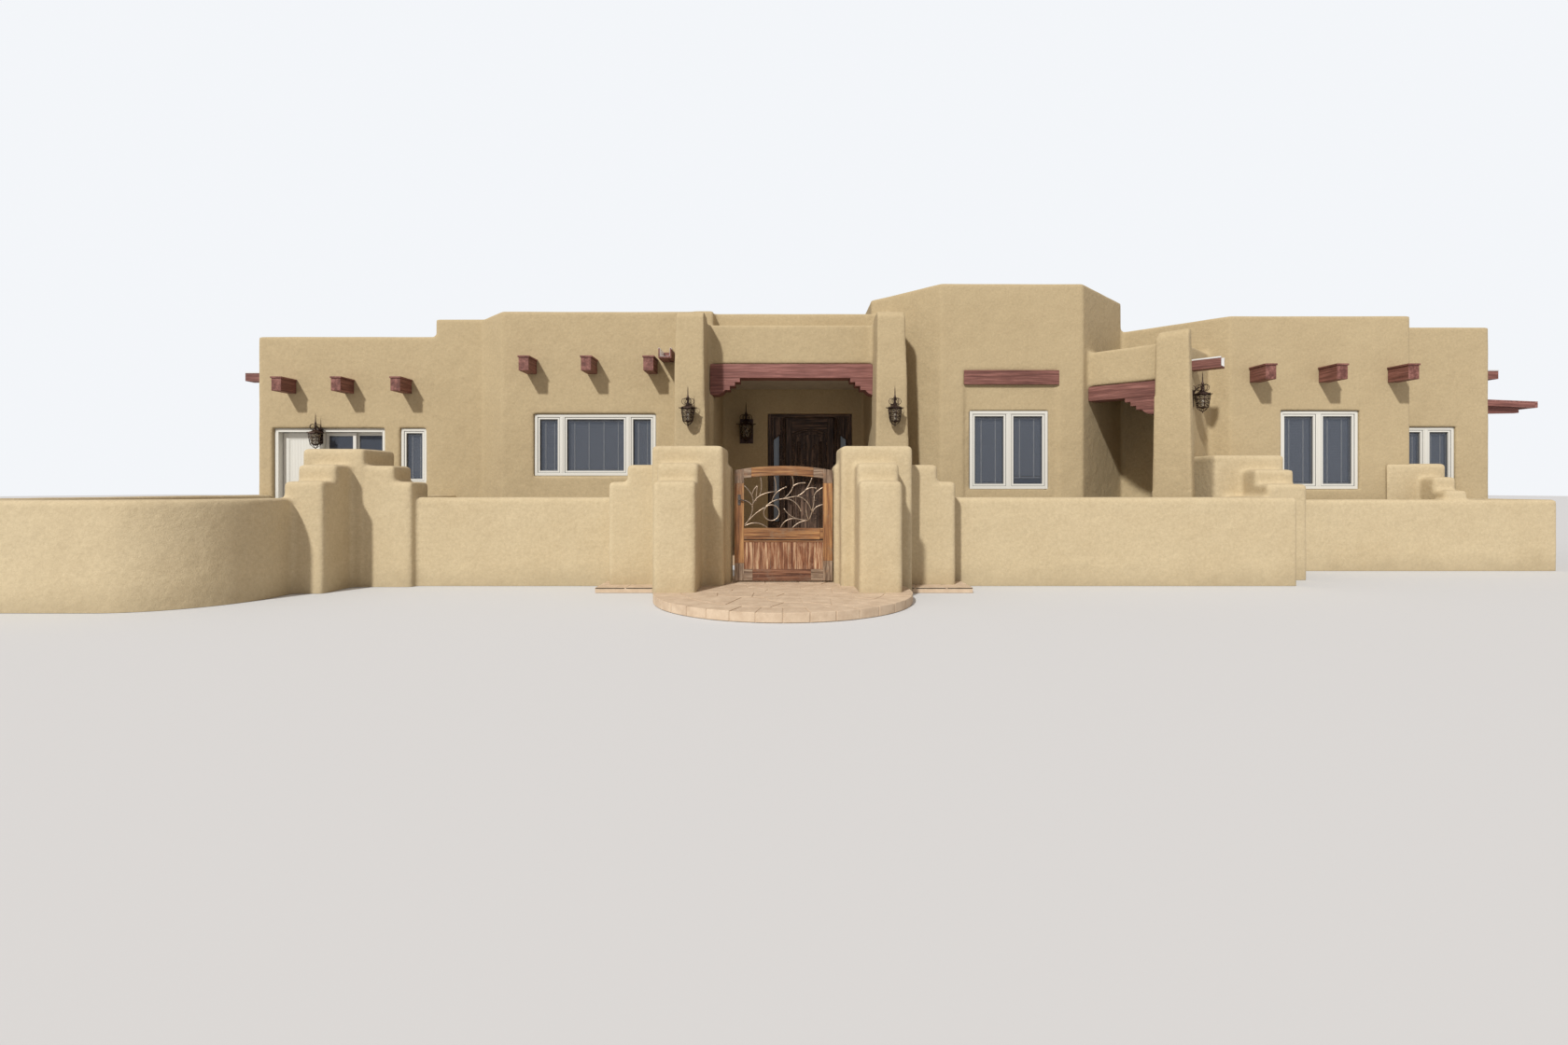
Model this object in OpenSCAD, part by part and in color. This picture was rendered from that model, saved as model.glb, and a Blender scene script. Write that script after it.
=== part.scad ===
// Single-storey adobe house with its walled entry court.
// Everything stands on the ground at z = 0. The street side faces -Y.
// The plan is laid out about the gate's centre line and then centred on the whole part.

/* [House plan] */
// from the gate line to the left end of the house
house_left = 9120; // [9000:10:9300]
// from the gate line to the right end of the house
house_right = 11980; // [11900:10:12200]
// depth line of the rear wall's outer face
house_back = 13050; // [12000:50:14000]
// thickness of the house walls
wall_t = 350; // [320:5:380]
// thickness of the left side wall
side_wall_t = 240; // [220:5:250]
// depth line of the garden room front
garden_face = 5070; // [5040:5:5100]
// depth line of the lounge front
lounge_face = 4540; // [4530:5:4560]
// left end of the lounge front, before its diagonal
lounge_left = 4680; // [4600:10:4750]
// right end of the lounge front, at the portal
lounge_right = 1490; // [1480:5:1500]
// where the garden room parapet steps up
garden_step = 6050; // [5950:10:6150]
// depth line of the tower and bedroom fronts
tower_face = 4050; // [4030:5:4070]
// left side of the tower
tower_left = 1500; // [1490:5:1520]
// left end of the tower front
tower_front_left = 2485; // [2450:5:2520]
// right end of the tower front
tower_front_right = 4749; // [4700:5:4800]
// how far each right hand diagonal runs
diagonal_run = 1166; // [1140:2:1190]
// depth line where the tower's raised walls end
tower_back = 8500; // [8300:50:8700]
// right end of the bedroom front
bedroom_right = 9940; // [9920:5:9980]
// how far the end room is set back
end_setback = 780; // [750:10:820]

/* [Heights] */
// floor above the ground
floor_z = 200; // [180:5:220]
// underside of the roof deck
deck_z = 2950; // [2900:10:2970]
// thickness of the roof deck
deck_t = 170; // [150:5:190]
// garden room parapet
garden_top = 3885; // [3850:5:3920]
// lounge parapet
lounge_top = 4187; // [4150:5:4195]
// parapet behind the portal
parapet_top = 4200; // [4190:5:4220]
// tower parapet
tower_top = 4504; // [4450:5:4550]
// bedroom parapet
bedroom_top = 3990; // [3950:5:4030]

/* [Portal] */
// depth line of the portal front
portal_face = 4300; // [4280:5:4320]
// depth line of the parapet behind the portal
parapet_face = 4750; // [4740:5:4770]
// left jamb of the portal
portal_left = 1140; // [1120:5:1160]
// depth line of the entry wall
recess_face = 6100; // [6000:10:6200]
// underside of the portal beam
beam_z = 3035; // [3020:5:3060]
// height of the portal beam
beam_h = 227; // [215:2:240]
// how far the portal beam is let into each jamb
beam_end = 60; // [40:5:80]
// depth of the portal beam, front to back
beam_t = 300; // [280:5:320]
// drop of the beam's corbels
corbel_drop = 272; // [250:2:290]
// length of the beam's corbels
corbel_len = 485; // [460:5:510]
// portal wall top
portal_top = 3900; // [3880:5:3920]
// portal floor above the ground
portal_floor_z = 150; // [130:5:170]

/* [Buttresses] */
// height of the portal buttresses
buttress_top = 4010; // [3980:5:4040]
// width of a buttress at its foot
buttress_foot = 610; // [590:5:630]
// width of a buttress at its head
buttress_head = 440; // [420:5:460]
// how far a buttress stands out at its foot
buttress_out = 680; // [660:5:700]
// how far a buttress stands out at its head
buttress_in = 520; // [500:5:540]

/* [Corner porch] */
// where the porch beam meets the tower's diagonal
porch_in = 134; // [124:2:144]
// width of the porch opening
porch_w = 1040; // [1020:5:1060]
// underside of the porch beam
porch_beam_z = 2642; // [2620:2:2660]
// porch wall top
porch_top = 3430; // [3400:5:3460]
// thickness of the porch walls
porch_t = 300; // [280:5:310]
// how far the porch buttress stands above the porch wall
porch_buttress_rise = 150; // [120:5:180]
// how far the porch buttress stands out at its foot
porch_buttress_out = 220; // [200:5:240]

/* [Timber] */
// width of a projecting roof beam
viga_w = 165; // [155:2:175]
// height of a projecting roof beam
viga_h = 240; // [230:2:250]
// how far a roof beam stands out
viga_out = 370; // [350:5:390]
// thickness of the board on a roof beam
viga_cap = 28; // [22:1:34]
// how far that board overhangs
viga_lip = 12; // [8:1:16]
// width of a roof spout
spout_w = 210; // [200:5:220]
// height of a roof spout
spout_h = 160; // [150:2:170]
// how far a roof spout stands out
spout_out = 400; // [380:5:420]
// wall thickness of a roof spout
spout_t = 26; // [22:1:30]
// centre line of the lounge's roof spout
lounge_spout_x = -1905; // [-1920:5:-1890]
// height of the lounge's roof spout
lounge_spout_z = 3490; // [3480:2:3500]
// height of the spouts at both sides of the house
side_spout_z = 3300; // [3280:5:3320]
// how far along the porch wall its spout is
porch_spout_in = 586; // [560:2:610]

// first roof beam of the garden room
garden_viga_x = -8528; // [-8560:4:-8500]
// first roof beam of the lounge
lounge_viga_x = -4175; // [-4200:5:-4150]
// first roof beam of the bedroom
bedroom_viga_x = 7465; // [7440:5:7490]
// distance between the front roof beams
viga_pitch = 1000; // [970:2:1030]
// distance between the bedroom's roof beams
bedroom_viga_pitch = 1095; // [1080:5:1110]
// first roof beam at the rear
rear_viga_x = -8400; // [-8500:50:-8300]
// height of the garden room's roof beams
low_viga_z = 3125; // [3110:1:3140]
// height of the lounge's roof beams
lounge_viga_z = 3375; // [3360:1:3390]
// height of the bedroom's roof beams
bedroom_viga_z = 3160; // [3140:2:3180]

/* [Tower lintel] */
// left end of the lintel beam
lintel_x = 2855; // [2840:5:2870]
// length of the lintel beam
lintel_w = 1505; // [1480:5:1530]
// underside of the lintel beam
lintel_z = 2892; // [2880:2:2910]
// depth of the sunk panel under the lintel beam
panel_in = 35; // [28:1:38]
// how far the lintel beam stands out from the wall
lintel_out = 12; // [8:1:16]

/* [Windows] */
// width of a window's outer frame member
frame_w = 75; // [68:1:82]
// width of the post between two lights
mullion_w = 142; // [134:2:150]
// depth of a window frame
frame_d = 90; // [80:2:100]
// how far a frame sits back from the wall face
frame_in = 40; // [30:2:50]
// thickness of the panes
pane_t = 14; // [12:1:18]
// head height of the front windows
head_z = 2475; // [2465:2:2485]
// head height of the garden and end room openings
low_head_z = 2285; // [2275:2:2295]
// left edge of the lounge window
lounge_win_x = -4142; // [-4160:2:-4120]
// left edge of the tower window
tower_win_x = 2957; // [2940:1:2970]
// left edge of the bedroom window
bedroom_win_x = 7890; // [7870:5:7910]
// left edge of the end room window
end_win_x = 10450; // [10430:5:10470]
// left edge of the garden room window
garden_win_x = -6650; // [-6670:5:-6630]
// width of the lounge window
lounge_win_w = 2010; // [1980:5:2040]
// height of the lounge window
lounge_win_h = 1020; // [1000:5:1040]
// width and height of the square windows
square_win = 1240; // [1220:5:1260]
// width of the end room window
end_win_w = 960; // [940:5:980]
// width of the garden room window
garden_win_w = 440; // [430:5:450]
// height of the garden room window
garden_win_h = 960; // [940:5:980]
// depth line where the side window starts
side_win_y = 9200; // [9000:50:9500]
// left edge of the leftmost rear window
rear_win_x = -7400; // [-7500:50:-7300]
// distance from one rear window to the next
rear_win_pitch = 4000; // [3900:50:4100]

/* [Entry] */
// left edge of the entry unit
entry_x = -300; // [-310:2:-290]
// width of the entry unit
entry_w = 1580; // [1560:2:1590]
// height of the entry unit
entry_h = 2450; // [2430:2:2460]
// width of the entry door leaf
door_w = 914; // [900:2:920]
// thickness of a door leaf
door_t = 46; // [42:1:50]
// clearance round every moving leaf
gap = 8; // [6:1:10]
// radius of a hinge barrel
barrel_r = 8; // [7:0.5:8.5]
// height of a hinge
hinge_h = 110; // [90:5:130]
// thickness of a hinge plate
hinge_t = 4; // [3:0.5:5]
// running clearance at a hinge barrel or a rail
run = 0.3; // [0.25:0.05:0.4]

/* [Lanterns] */
// height of the middle of the portal lanterns
lamp_z = 2345; // [2330:5:2360]
// height of the middle of the lantern between the garden doors
garden_lamp_z = 2080; // [2070:2:2084]
// height of the middle of the porch lantern
porch_lamp_z = 2550; // [2530:2:2556]
// how far a lantern hangs out from the wall
lamp_reach = 135; // [125:1:145]
// width of a lantern's cage
cage_w = 165; // [155:1:175]
// height of a lantern's cage
cage_h = 215; // [205:1:225]
// centre line of the lantern beside the entry door
recess_lamp_x = -705; // [-720:5:-690]

/* [Garden room doors] */
// left edge of the garden door unit
patio_x = -8860; // [-8865:1:-8855]
// width of the garden door unit
patio_w = 1930; // [1925:1:1935]
// width of the hinged leaf
leaf_w = 700; // [690:2:710]
// thickness of the unit's frame members
patio_frame = 60; // [56:1:64]

/* [Court] */
// thickness of the court walls
court_t = 250; // [240:2:260]
// height of the court walls
court_h = 1137; // [1120:1:1150]
// depth line of the court front
court_face = 1890; // [1880:2:1900]
// right end of the court front
court_right = 6560; // [6540:2:6580]
// rounding of plastered tops and corners
soft_r = 60; // [50:2:70]
// left edge of the left pier
left_pier_x = -6094; // [-6110:2:-6080]
// width of the left pier
left_pier_w = 800; // [780:5:820]
// width of a gate pier
gate_pier_w = 860; // [840:5:880]
// how far a gate pier stands in front of the court wall
gate_pier_out = 680; // [660:5:700]
// how far a gate pier runs behind the court wall's front
gate_pier_in = 110; // [100:2:120]
// width of the pier at the right end of the court
court_pier_w = 1020; // [1000:5:1040]
// how far that pier stands in front of the bedroom
court_pier_out = 1050; // [1030:5:1060]
// depth of the left pier
left_pier_d = 735; // [710:5:760]
// how far the left pier's front steps sit in from its left edge
left_fin_in = 154; // [146:2:162]
// how far the garden wall's curve ends inside the left pier's steps
garden_corner_in = 360; // [345:5:375]
// left edge of the pier at the end room
end_pier_x = 9517; // [9500:5:9540]
// width of the pier at the end room
end_pier_w = 957; // [940:5:980]
// how far that pier stands in front of the bedroom
end_pier_out = 50; // [40:2:60]
// left edge of that pier's front steps
end_fin_x = 10020; // [10000:5:10040]
// width of that pier's front steps
end_fin_w = 355; // [340:5:370]
// width of a pier's front steps
fin_w = 490; // [470:5:510]
// length of a pier's upper front step
fin_run = 305; // [290:5:320]
// length of a pier's lower front step
fin_low_run = 242; // [230:2:250]
// length of a pier's upper side step
side_run = 372; // [360:2:380]
// length of a pier's lower side step
side_low_run = 225; // [215:1:235]
// depth of a pier's side steps
side_d = 450; // [430:5:470]
// width of the low steps that the gate meets
jamb_fin = 64; // [58:2:70]
// gap between the gate and its latch pier
latch_gap = 39; // [35:1:43]
// height of a pier
pier_h = 1756; // [1740:2:1770]
// height of the upper step beside a pier
step_h = 1541; // [1530:1:1550]
// height of the lower step beside a pier
low_h = 1335; // [1325:1:1345]
// depth line of the garden wall front
garden_wall_face = -50; // [-60:2:-40]
// outer radius of the garden wall's corner
garden_wall_r = 1090; // [1080:2:1100]
// depth line of the wall in front of the end room
end_wall_face = 3500; // [3480:5:3520]
// height of the wall in front of the end room
end_wall_h = 1080; // [1060:2:1100]
// right end of the wall in front of the end room
end_wall_right = 11660; // [11640:5:11680]

/* [Gate] */
// left edge of the gate leaf
gate_x = -606; // [-610:1:-602]
// width of the gate leaf
gate_w = 1200; // [1196:1:1202]
// thickness of the gate leaf
gate_t = 46; // [42:1:50]
// depth line of the gate
gate_face = 1530; // [1520:2:1540]
// gate height at its sides
gate_side_z = 1467; // [1460:1:1475]
// rise of the gate's arched top
gate_rise = 54; // [46:2:60]
// width of the gate's stiles and rails
gate_rail = 115; // [110:1:120]
// thickness of the bars in the gate
bar_w = 14; // [12:1:16]

/* [Entry step] */
// radius of the round step
step_r = 1440; // [1420:5:1460]
// height of the round step
step_z = 90; // [80:2:100]

/* [Side canopy] */
// how far the canopy stands out
canopy_out = 1220; // [1180:10:1260]
// length of the canopy along the wall
canopy_len = 1600; // [1500:20:1700]
// height of the canopy's top edge
canopy_z = 2815; // [2795:5:2835]
// thickness of the canopy's roof
canopy_t = 110; // [100:2:120]

/* [Hidden] */
$fn = 48;

plaster = [0.82, 0.71, 0.53];
plaster_light = [0.86, 0.76, 0.60];
timber = [0.42, 0.17, 0.13];
gate_wood = [0.52, 0.30, 0.17];
door_wood = [0.17, 0.11, 0.08];
white = [0.90, 0.89, 0.85];
glass = [0.34, 0.40, 0.48, 0.5];
iron = [0.16, 0.11, 0.09];
stone = [0.66, 0.55, 0.43];
deck = [0.62, 0.58, 0.52];

// shift of a wall's inner corner where a wall turns by 45 degrees
mitre = wall_t * tan(22.5);
left_x = -house_left;
deck_top = deck_z + deck_t;
beam_top = beam_z + beam_h;
diag_y = tower_face + diagonal_run;
tower_right = tower_front_right + diagonal_run;
bedroom_x = tower_right + diagonal_run;
tower_side_y = tower_face + tower_front_left - tower_left;
end_face = tower_face + end_setback;
recess_back = recess_face + wall_t;
lounge_corner_x = -lounge_left - (garden_face - lounge_face);
patio_right = patio_x + patio_w;
porch_d = (diagonal_run - porch_in) * sqrt(2) - run;
porch_beam_top = porch_beam_z + beam_h;
end_door_y = 5600;
end_door_w = 914;
end_door_h = 2032;
part_right = house_right + canopy_out;
part_left = left_x - spout_out;
step_y = 890;
part_front = step_y - step_r;
part_back = house_back + viga_out + viga_lip;
centre_x = (part_left + part_right) / 2;
centre_y = (part_front + part_back) / 2;

// a box from three spans
module span(x, y, z) {
  translate([x[0], y[0], z[0]]) cube([x[1] - x[0], y[1] - y[0], z[1] - z[0]]);
}

// an upright wall from its outline in plan
module wall(plan, top, foot = 0) {
  translate([0, 0, foot]) linear_extrude(top - foot) polygon(plan);
}

// an outline in x and z, extruded along y from its front face
module elevation(points, y, thick) {
  translate([0, y + thick, 0]) rotate([90, 0, 0]) linear_extrude(thick) polygon(points);
}

// section of a plastered wall with rounded top edges
module soft_section(thick, tall) {
  square([thick, tall - soft_r]);
  translate([soft_r, 0]) square([thick - 2 * soft_r, tall]);
  for (x = [soft_r, thick - soft_r]) translate([x, tall - soft_r]) circle(soft_r);
}

// plastered wall along x
module soft_run_x(x, y, tall) {
  translate([x[0], y, 0]) rotate([90, 0, 90]) linear_extrude(x[1] - x[0])
    soft_section(court_t, tall);
}

// plastered wall along y
module soft_run_y(x, y, tall) {
  translate([x, y[1], 0]) rotate([90, 0, 0]) linear_extrude(y[1] - y[0])
    soft_section(court_t, tall);
}

// plastered block, rounded at its top and upright edges
module soft_block(x, y, tall) {
  w = x[1] - x[0];
  d = y[1] - y[0];
  intersection() {
    translate([x[0], y[0], 0]) rotate([90, 0, 90]) linear_extrude(w) soft_section(d, tall);
    translate([x[0], y[1], 0]) rotate([90, 0, 0]) linear_extrude(d) soft_section(w, tall);
    translate([x[0], y[0], 0]) linear_extrude(tall) {
      translate([soft_r, 0]) square([w - 2 * soft_r, d]);
      translate([0, soft_r]) square([w, d - 2 * soft_r]);
      for (cx = [soft_r, w - soft_r], cy = [soft_r, d - soft_r]) translate([cx, cy]) circle(soft_r);
    }
  }
}

// battered buttress with a rounded head; its back stands at y = 0
module buttress(foot, head, out, top) {
  side = (foot - head) / 2;
  head_out = buttress_in * out / buttress_out;
  intersection() {
    translate([-foot / 2, 0, 0]) rotate([90, 0, 0]) linear_extrude(out)
      polygon([[0, 0], [foot, 0], [foot - side, top], [side, top]]);
    translate([-foot / 2, 0, 0]) rotate([90, 0, 90]) linear_extrude(foot) {
      polygon([[-out, 0], [0, 0], [0, top], [-head_out + buttress_round, top],
        [-head_out, top - buttress_round]]);
    }
  }
}

// a beam from x = 0 to len, with a shaped corbel at each end that has one
module beam(len, tall, thick, left, right) {
  r = corbel_drop * 0.62;
  flat = corbel_len * 0.2;
  tread = (corbel_len - flat - r * sin(58)) / 3;
  riser = (corbel_drop - r * (1 - cos(58))) / 3;
  corbel = concat([[0, 0], [0, -corbel_drop], [flat, -corbel_drop]],
    [for (a = [8:10:58]) [flat + r * sin(a), -corbel_drop + r * (1 - cos(a))]],
    [for (i = [0:2], j = [0, 1]) [corbel_len - (3 - i - j) * tread, -(3 - i) * riser]],
    [[corbel_len, 0]]);
  translate([0, thick, 0]) rotate([90, 0, 0]) linear_extrude(thick) {
    square([len, tall]);
    if (left) polygon(corbel);
    if (right) translate([len, 0]) mirror([1, 0]) polygon(corbel);
  }
}

hinge_off = barrel_r + run;
plate_len = 34;

// the fixed half of a hinge: a barrel about z and a plate that lies on the jamb
module hinge_barrel(z, plate_turn) {
  for (h = z) translate([0, 0, h]) {
    cylinder(h = hinge_h, r = barrel_r);
    rotate(plate_turn) translate([0, -hinge_off, 0]) cube([plate_len, hinge_t, hinge_h]);
  }
}

// the moving half: a plate at the leaf's inner face, which runs up to the barrel
module hinge_plate(z) {
  reach = sqrt(pow(barrel_r + run, 2) - pow(hinge_off - hinge_t, 2));
  for (h = z) translate([-plate_len, -hinge_off, h]) cube([plate_len - reach, hinge_t, hinge_h]);
}

// widths of a window's lights from their shares
function light_w(w, share, i) = (w - 2 * frame_w - (len(share) - 1) * mullion_w) * share[i];
function light_x(w, share, i) = i == 0 ? frame_w
  : light_x(w, share, i - 1) + light_w(w, share, i - 1) + mullion_w;

// window frame with its posts; its outer corner is at the origin, its face towards -y
module frame(w, h, share) {
  difference() {
    span([0, w], [frame_in, frame_in + frame_d], [0, h]);
    for (i = [0:len(share) - 1]) span(
      [light_x(w, share, i), light_x(w, share, i) + light_w(w, share, i)],
      [0, frame_in + 2 * frame_d], [frame_w, h - frame_w]);
  }
}

// the panes of one window
module panes(w, h, share) {
  y = frame_in + frame_d / 2;
  for (i = [0:len(share) - 1]) span(
    [light_x(w, share, i), light_x(w, share, i) + light_w(w, share, i)],
    [y, y + pane_t], [frame_w, h - frame_w]);
}

// every window as [x, face y, sill z, width, height, shares, turn]
equal = [0.5, 0.5];
WINDOWS = concat([
  [lounge_win_x, lounge_face, head_z - lounge_win_h, lounge_win_w, lounge_win_h, [0.196, 0.608, 0.196], 0],
  [tower_win_x, tower_face, head_z - square_win, square_win, square_win, equal, 0],
  [bedroom_win_x, tower_face, head_z - square_win, square_win, square_win, equal, 0],
  [end_win_x, end_face, low_head_z - square_win, end_win_w, square_win, equal, 0],
  [garden_win_x, garden_face, low_head_z - garden_win_h, garden_win_w, garden_win_h, [1], 0],
  [left_x, side_win_y + square_win, head_z - square_win, square_win, square_win, equal, -90],
  [house_right, side_win_y, head_z - square_win, square_win, square_win, equal, 90]],
  [for (i = [0:4]) [rear_win_x + i * rear_win_pitch + square_win, house_back, head_z - square_win,
    square_win, square_win, equal, 180]]);

module at_window(w) {
  translate([w[0], w[1], w[2]]) rotate(w[6]) children();
}

// the holes of all windows
module window_holes() {
  for (w = WINDOWS) at_window(w) span([0, w[3]], [-wall_t, 2 * wall_t], [0, w[4]]);
}

module floor_slab() {
  color(stone) linear_extrude(floor_z) inner_plan();
}

// plan of the rooms, inside the walls
module inner_plan() {
  polygon([[left_x + side_wall_t, garden_face + wall_t], [lounge_corner_x + mitre, garden_face + wall_t],
    [-lounge_left + mitre, lounge_face + wall_t], [-lounge_right, lounge_face + wall_t],
    [-lounge_right, recess_back], [tower_left + wall_t, recess_back],
    [tower_left + wall_t, tower_side_y + mitre], [tower_front_left + mitre, tower_face + wall_t],
    [tower_front_right - mitre, tower_face + wall_t], [tower_right, diag_y + wall_t * sqrt(2)],
    [bedroom_x + mitre, tower_face + wall_t], [bedroom_right - wall_t, tower_face + wall_t],
    [bedroom_right - wall_t, end_face + wall_t], [house_right - wall_t, end_face + wall_t],
    [house_right - wall_t, house_back - wall_t], [left_x + side_wall_t, house_back - wall_t]]);
}

module roof_deck() {
  color(deck) translate([0, 0, deck_z]) linear_extrude(deck_t) inner_plan();
}

module garden_wall_jambs() {
  color(plaster) {
    span([left_x, patio_x], [garden_face, garden_face + wall_t], [0, low_head_z]);
    difference() {
      wall([[patio_right, garden_face], [lounge_corner_x, garden_face],
        [lounge_corner_x + mitre, garden_face + wall_t], [patio_right, garden_face + wall_t]],
        low_head_z);
      window_holes();
    }
  }
}

module garden_wall_head() {
  color(plaster) {
    wall([[left_x, garden_face], [-garden_step, garden_face], [-garden_step, garden_face + wall_t],
      [left_x, garden_face + wall_t]], garden_top, low_head_z);
    wall([[-garden_step, garden_face], [lounge_corner_x, garden_face],
      [lounge_corner_x + mitre, garden_face + wall_t], [-garden_step, garden_face + wall_t]],
      lounge_top, low_head_z);
  }
}

module garden_side_wall() {
  color(plaster) difference() {
    span([left_x, left_x + side_wall_t], [garden_face + wall_t, house_back - wall_t], [0, garden_top]);
    window_holes();
  }
}

module lounge_wall() {
  color(plaster) difference() {
    wall([[lounge_corner_x, garden_face], [-lounge_left, lounge_face], [-lounge_right, lounge_face],
      [-lounge_right, lounge_face + wall_t], [-lounge_left + mitre, lounge_face + wall_t],
      [lounge_corner_x + mitre, garden_face + wall_t]], lounge_top);
    window_holes();
  }
}

portal_wing = 1700;
buttress_round = 90;
left_buttress_x = -portal_wing + buttress_head / 2 + 20;
right_buttress_x = tower_left + 165;
jamb_right = tower_left + wall_t + 30;

module portal_jambs() {
  color(plaster) difference() {
    jamb_walls();
    beam_pockets();
  }
}

module jamb_walls() {
  wall([[-portal_wing, portal_face], [-portal_left, portal_face], [-portal_left, recess_face],
    [-lounge_right, recess_face], [-lounge_right, lounge_face], [-portal_wing, lounge_face]],
    beam_top);
  wall([[tower_left, portal_face], [jamb_right, portal_face],
    [jamb_right, tower_side_y + tower_left - jamb_right], [tower_left, tower_side_y]], beam_top);
}

// where the ends of the portal beam are let into the jambs
module beam_pockets() {
  for (x = [-portal_left - beam_end, tower_left]) span([x, x + beam_end],
    [portal_face - 1, portal_face + beam_t], [beam_z - corbel_drop, beam_top + 1]);
}

module portal_wall() {
  step_x = 1160;
  back_x = tower_left + tower_side_y - parapet_face;
  color(plaster) wall([[-portal_wing, portal_face], [jamb_right, portal_face],
    [jamb_right, tower_side_y + tower_left - jamb_right], [back_x, parapet_face],
    [-step_x, parapet_face], [-step_x, lounge_face], [-portal_wing, lounge_face]],
    portal_top, beam_top);
}

module portal_parapet() {
  step_x = 1160;
  depth = wall_t;
  color(plaster) wall([[-lounge_right, lounge_face], [-step_x, lounge_face], [-step_x, parapet_face],
    [tower_left + tower_side_y - parapet_face, parapet_face], [tower_left, tower_side_y],
    [tower_left, parapet_face + depth], [-lounge_right, parapet_face + depth]],
    parapet_top, beam_top);
}

module portal_roof() {
  color(deck) span([-portal_left, tower_left], [portal_face + beam_t, recess_face],
    [beam_top - deck_t + 10, beam_top]);
}

module portal_floor() {
  color(stone) span([-portal_left, tower_left], [portal_face, recess_face], [0, portal_floor_z]);
}

module entry_wall_jambs() {
  color(plaster) {
    span([-lounge_right, entry_x], [recess_face, recess_back], [0, floor_z + entry_h]);
    span([entry_x + entry_w, tower_left], [recess_face, recess_back], [0, floor_z + entry_h]);
    span([entry_x, entry_x + entry_w], [recess_face, recess_back], [0, floor_z]);
  }
}

module entry_wall_head() {
  color(plaster) span([-lounge_right, tower_left], [recess_face, recess_back],
    [floor_z + entry_h, beam_top]);
}

module tower_wall() {
  color(plaster) difference() {
    wall([[tower_left, recess_back], [tower_left, tower_side_y], [tower_front_left, tower_face],
      [tower_front_right, tower_face], [tower_right, diag_y],
      [tower_right, diag_y + wall_t * sqrt(2)],
      [tower_front_right - mitre, tower_face + wall_t], [tower_front_left + mitre, tower_face + wall_t],
      [tower_left + wall_t, tower_side_y + mitre], [tower_left + wall_t, recess_back]], tower_top);
    span([lintel_x, lintel_x + lintel_w], [tower_face - 1, tower_face + panel_in],
      [-1, lintel_z + beam_h]);
    window_holes();
  }
}

module tower_raised_walls() {
  side_y = diag_y + wall_t * sqrt(2);
  color(plaster) {
    span([tower_left, tower_left + wall_t], [recess_back, tower_back], [deck_top, tower_top]);
    span([tower_right - wall_t, tower_right], [side_y, tower_back], [deck_top, tower_top]);
    span([tower_left + wall_t, tower_right - wall_t], [tower_back - wall_t, tower_back],
      [deck_top, tower_top]);
  }
}

module tower_roof() {
  top = tower_top - 2 * deck_t;
  side_y = diag_y + wall_t * sqrt(2);
  color(deck) wall([[tower_left + wall_t, tower_back - wall_t], [tower_left + wall_t, tower_side_y + mitre],
    [tower_front_left + mitre, tower_face + wall_t], [tower_front_right - mitre, tower_face + wall_t],
    [tower_right - wall_t, side_y - wall_t], [tower_right - wall_t, tower_back - wall_t]],
    top, top - deck_t);
}

module bedroom_wall() {
  color(plaster) difference() {
    wall([[tower_right, diag_y], [bedroom_x, tower_face], [bedroom_right, tower_face],
      [bedroom_right, end_face], [bedroom_right - wall_t, end_face],
      [bedroom_right - wall_t, tower_face + wall_t], [bedroom_x + mitre, tower_face + wall_t],
      [tower_right, diag_y + wall_t * sqrt(2)]], bedroom_top);
    window_holes();
  }
}

module end_room_wall() {
  color(plaster) difference() {
    span([bedroom_right - wall_t, house_right], [end_face, end_face + wall_t], [0, bedroom_top]);
    window_holes();
  }
}

module end_side_wall() {
  color(plaster) difference() {
    span([house_right - wall_t, house_right], [end_face + wall_t, house_back - wall_t],
      [0, bedroom_top]);
    window_holes();
    span([house_right - 2 * wall_t, house_right + wall_t], [end_door_y, end_door_y + end_door_w],
      [floor_z, floor_z + end_door_h]);
  }
}

module rear_wall() {
  color(plaster) difference() {
    elevation([[left_x, 0], [house_right, 0], [house_right, bedroom_top],
      [tower_left, bedroom_top], [tower_left, lounge_top], [-garden_step, lounge_top],
      [-garden_step, garden_top], [left_x, garden_top]], house_back - wall_t, wall_t);
    window_holes();
  }
}

module inner_parapet() {
  color(plaster) {
    span([-garden_step, -garden_step + wall_t], [garden_face + wall_t, house_back - wall_t],
      [deck_top, lounge_top]);
    span([tower_left, tower_left + wall_t], [tower_back, house_back - wall_t],
      [deck_top, lounge_top]);
  }
}

module portal_buttresses() {
  color(plaster) {
    intersection() {
      translate([left_buttress_x, portal_face, 0])
        buttress(buttress_foot, buttress_head, buttress_out, buttress_top);
      span([-portal_wing, 0], [0, portal_face], [0, tower_top]);
    }
    translate([right_buttress_x, portal_face, 0])
      buttress(buttress_foot, buttress_head, buttress_out, buttress_top);
  }
}

// moves to the corner porch, with x along its beam and y into the house
module at_porch() {
  translate([tower_front_right + porch_in, tower_face + porch_in, 0]) rotate(-45) children();
}

module porch_buttress() {
  color(plaster) at_porch() translate([porch_w + buttress_foot / 2 - 80, 0, 0])
    buttress(buttress_foot, buttress_head, porch_buttress_out, porch_top + porch_buttress_rise);
}

module porch_walls() {
  color(plaster) at_porch() {
    span([run, porch_w], [0, porch_t], [porch_beam_top, porch_top]);
    span([porch_w, porch_w + porch_t], [0, porch_d], [0, porch_top]);
  }
}

module porch_roof() {
  color(deck) at_porch() span([run, porch_w], [porch_t, porch_d],
    [porch_beam_top, porch_beam_top + deck_t]);
}

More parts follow.
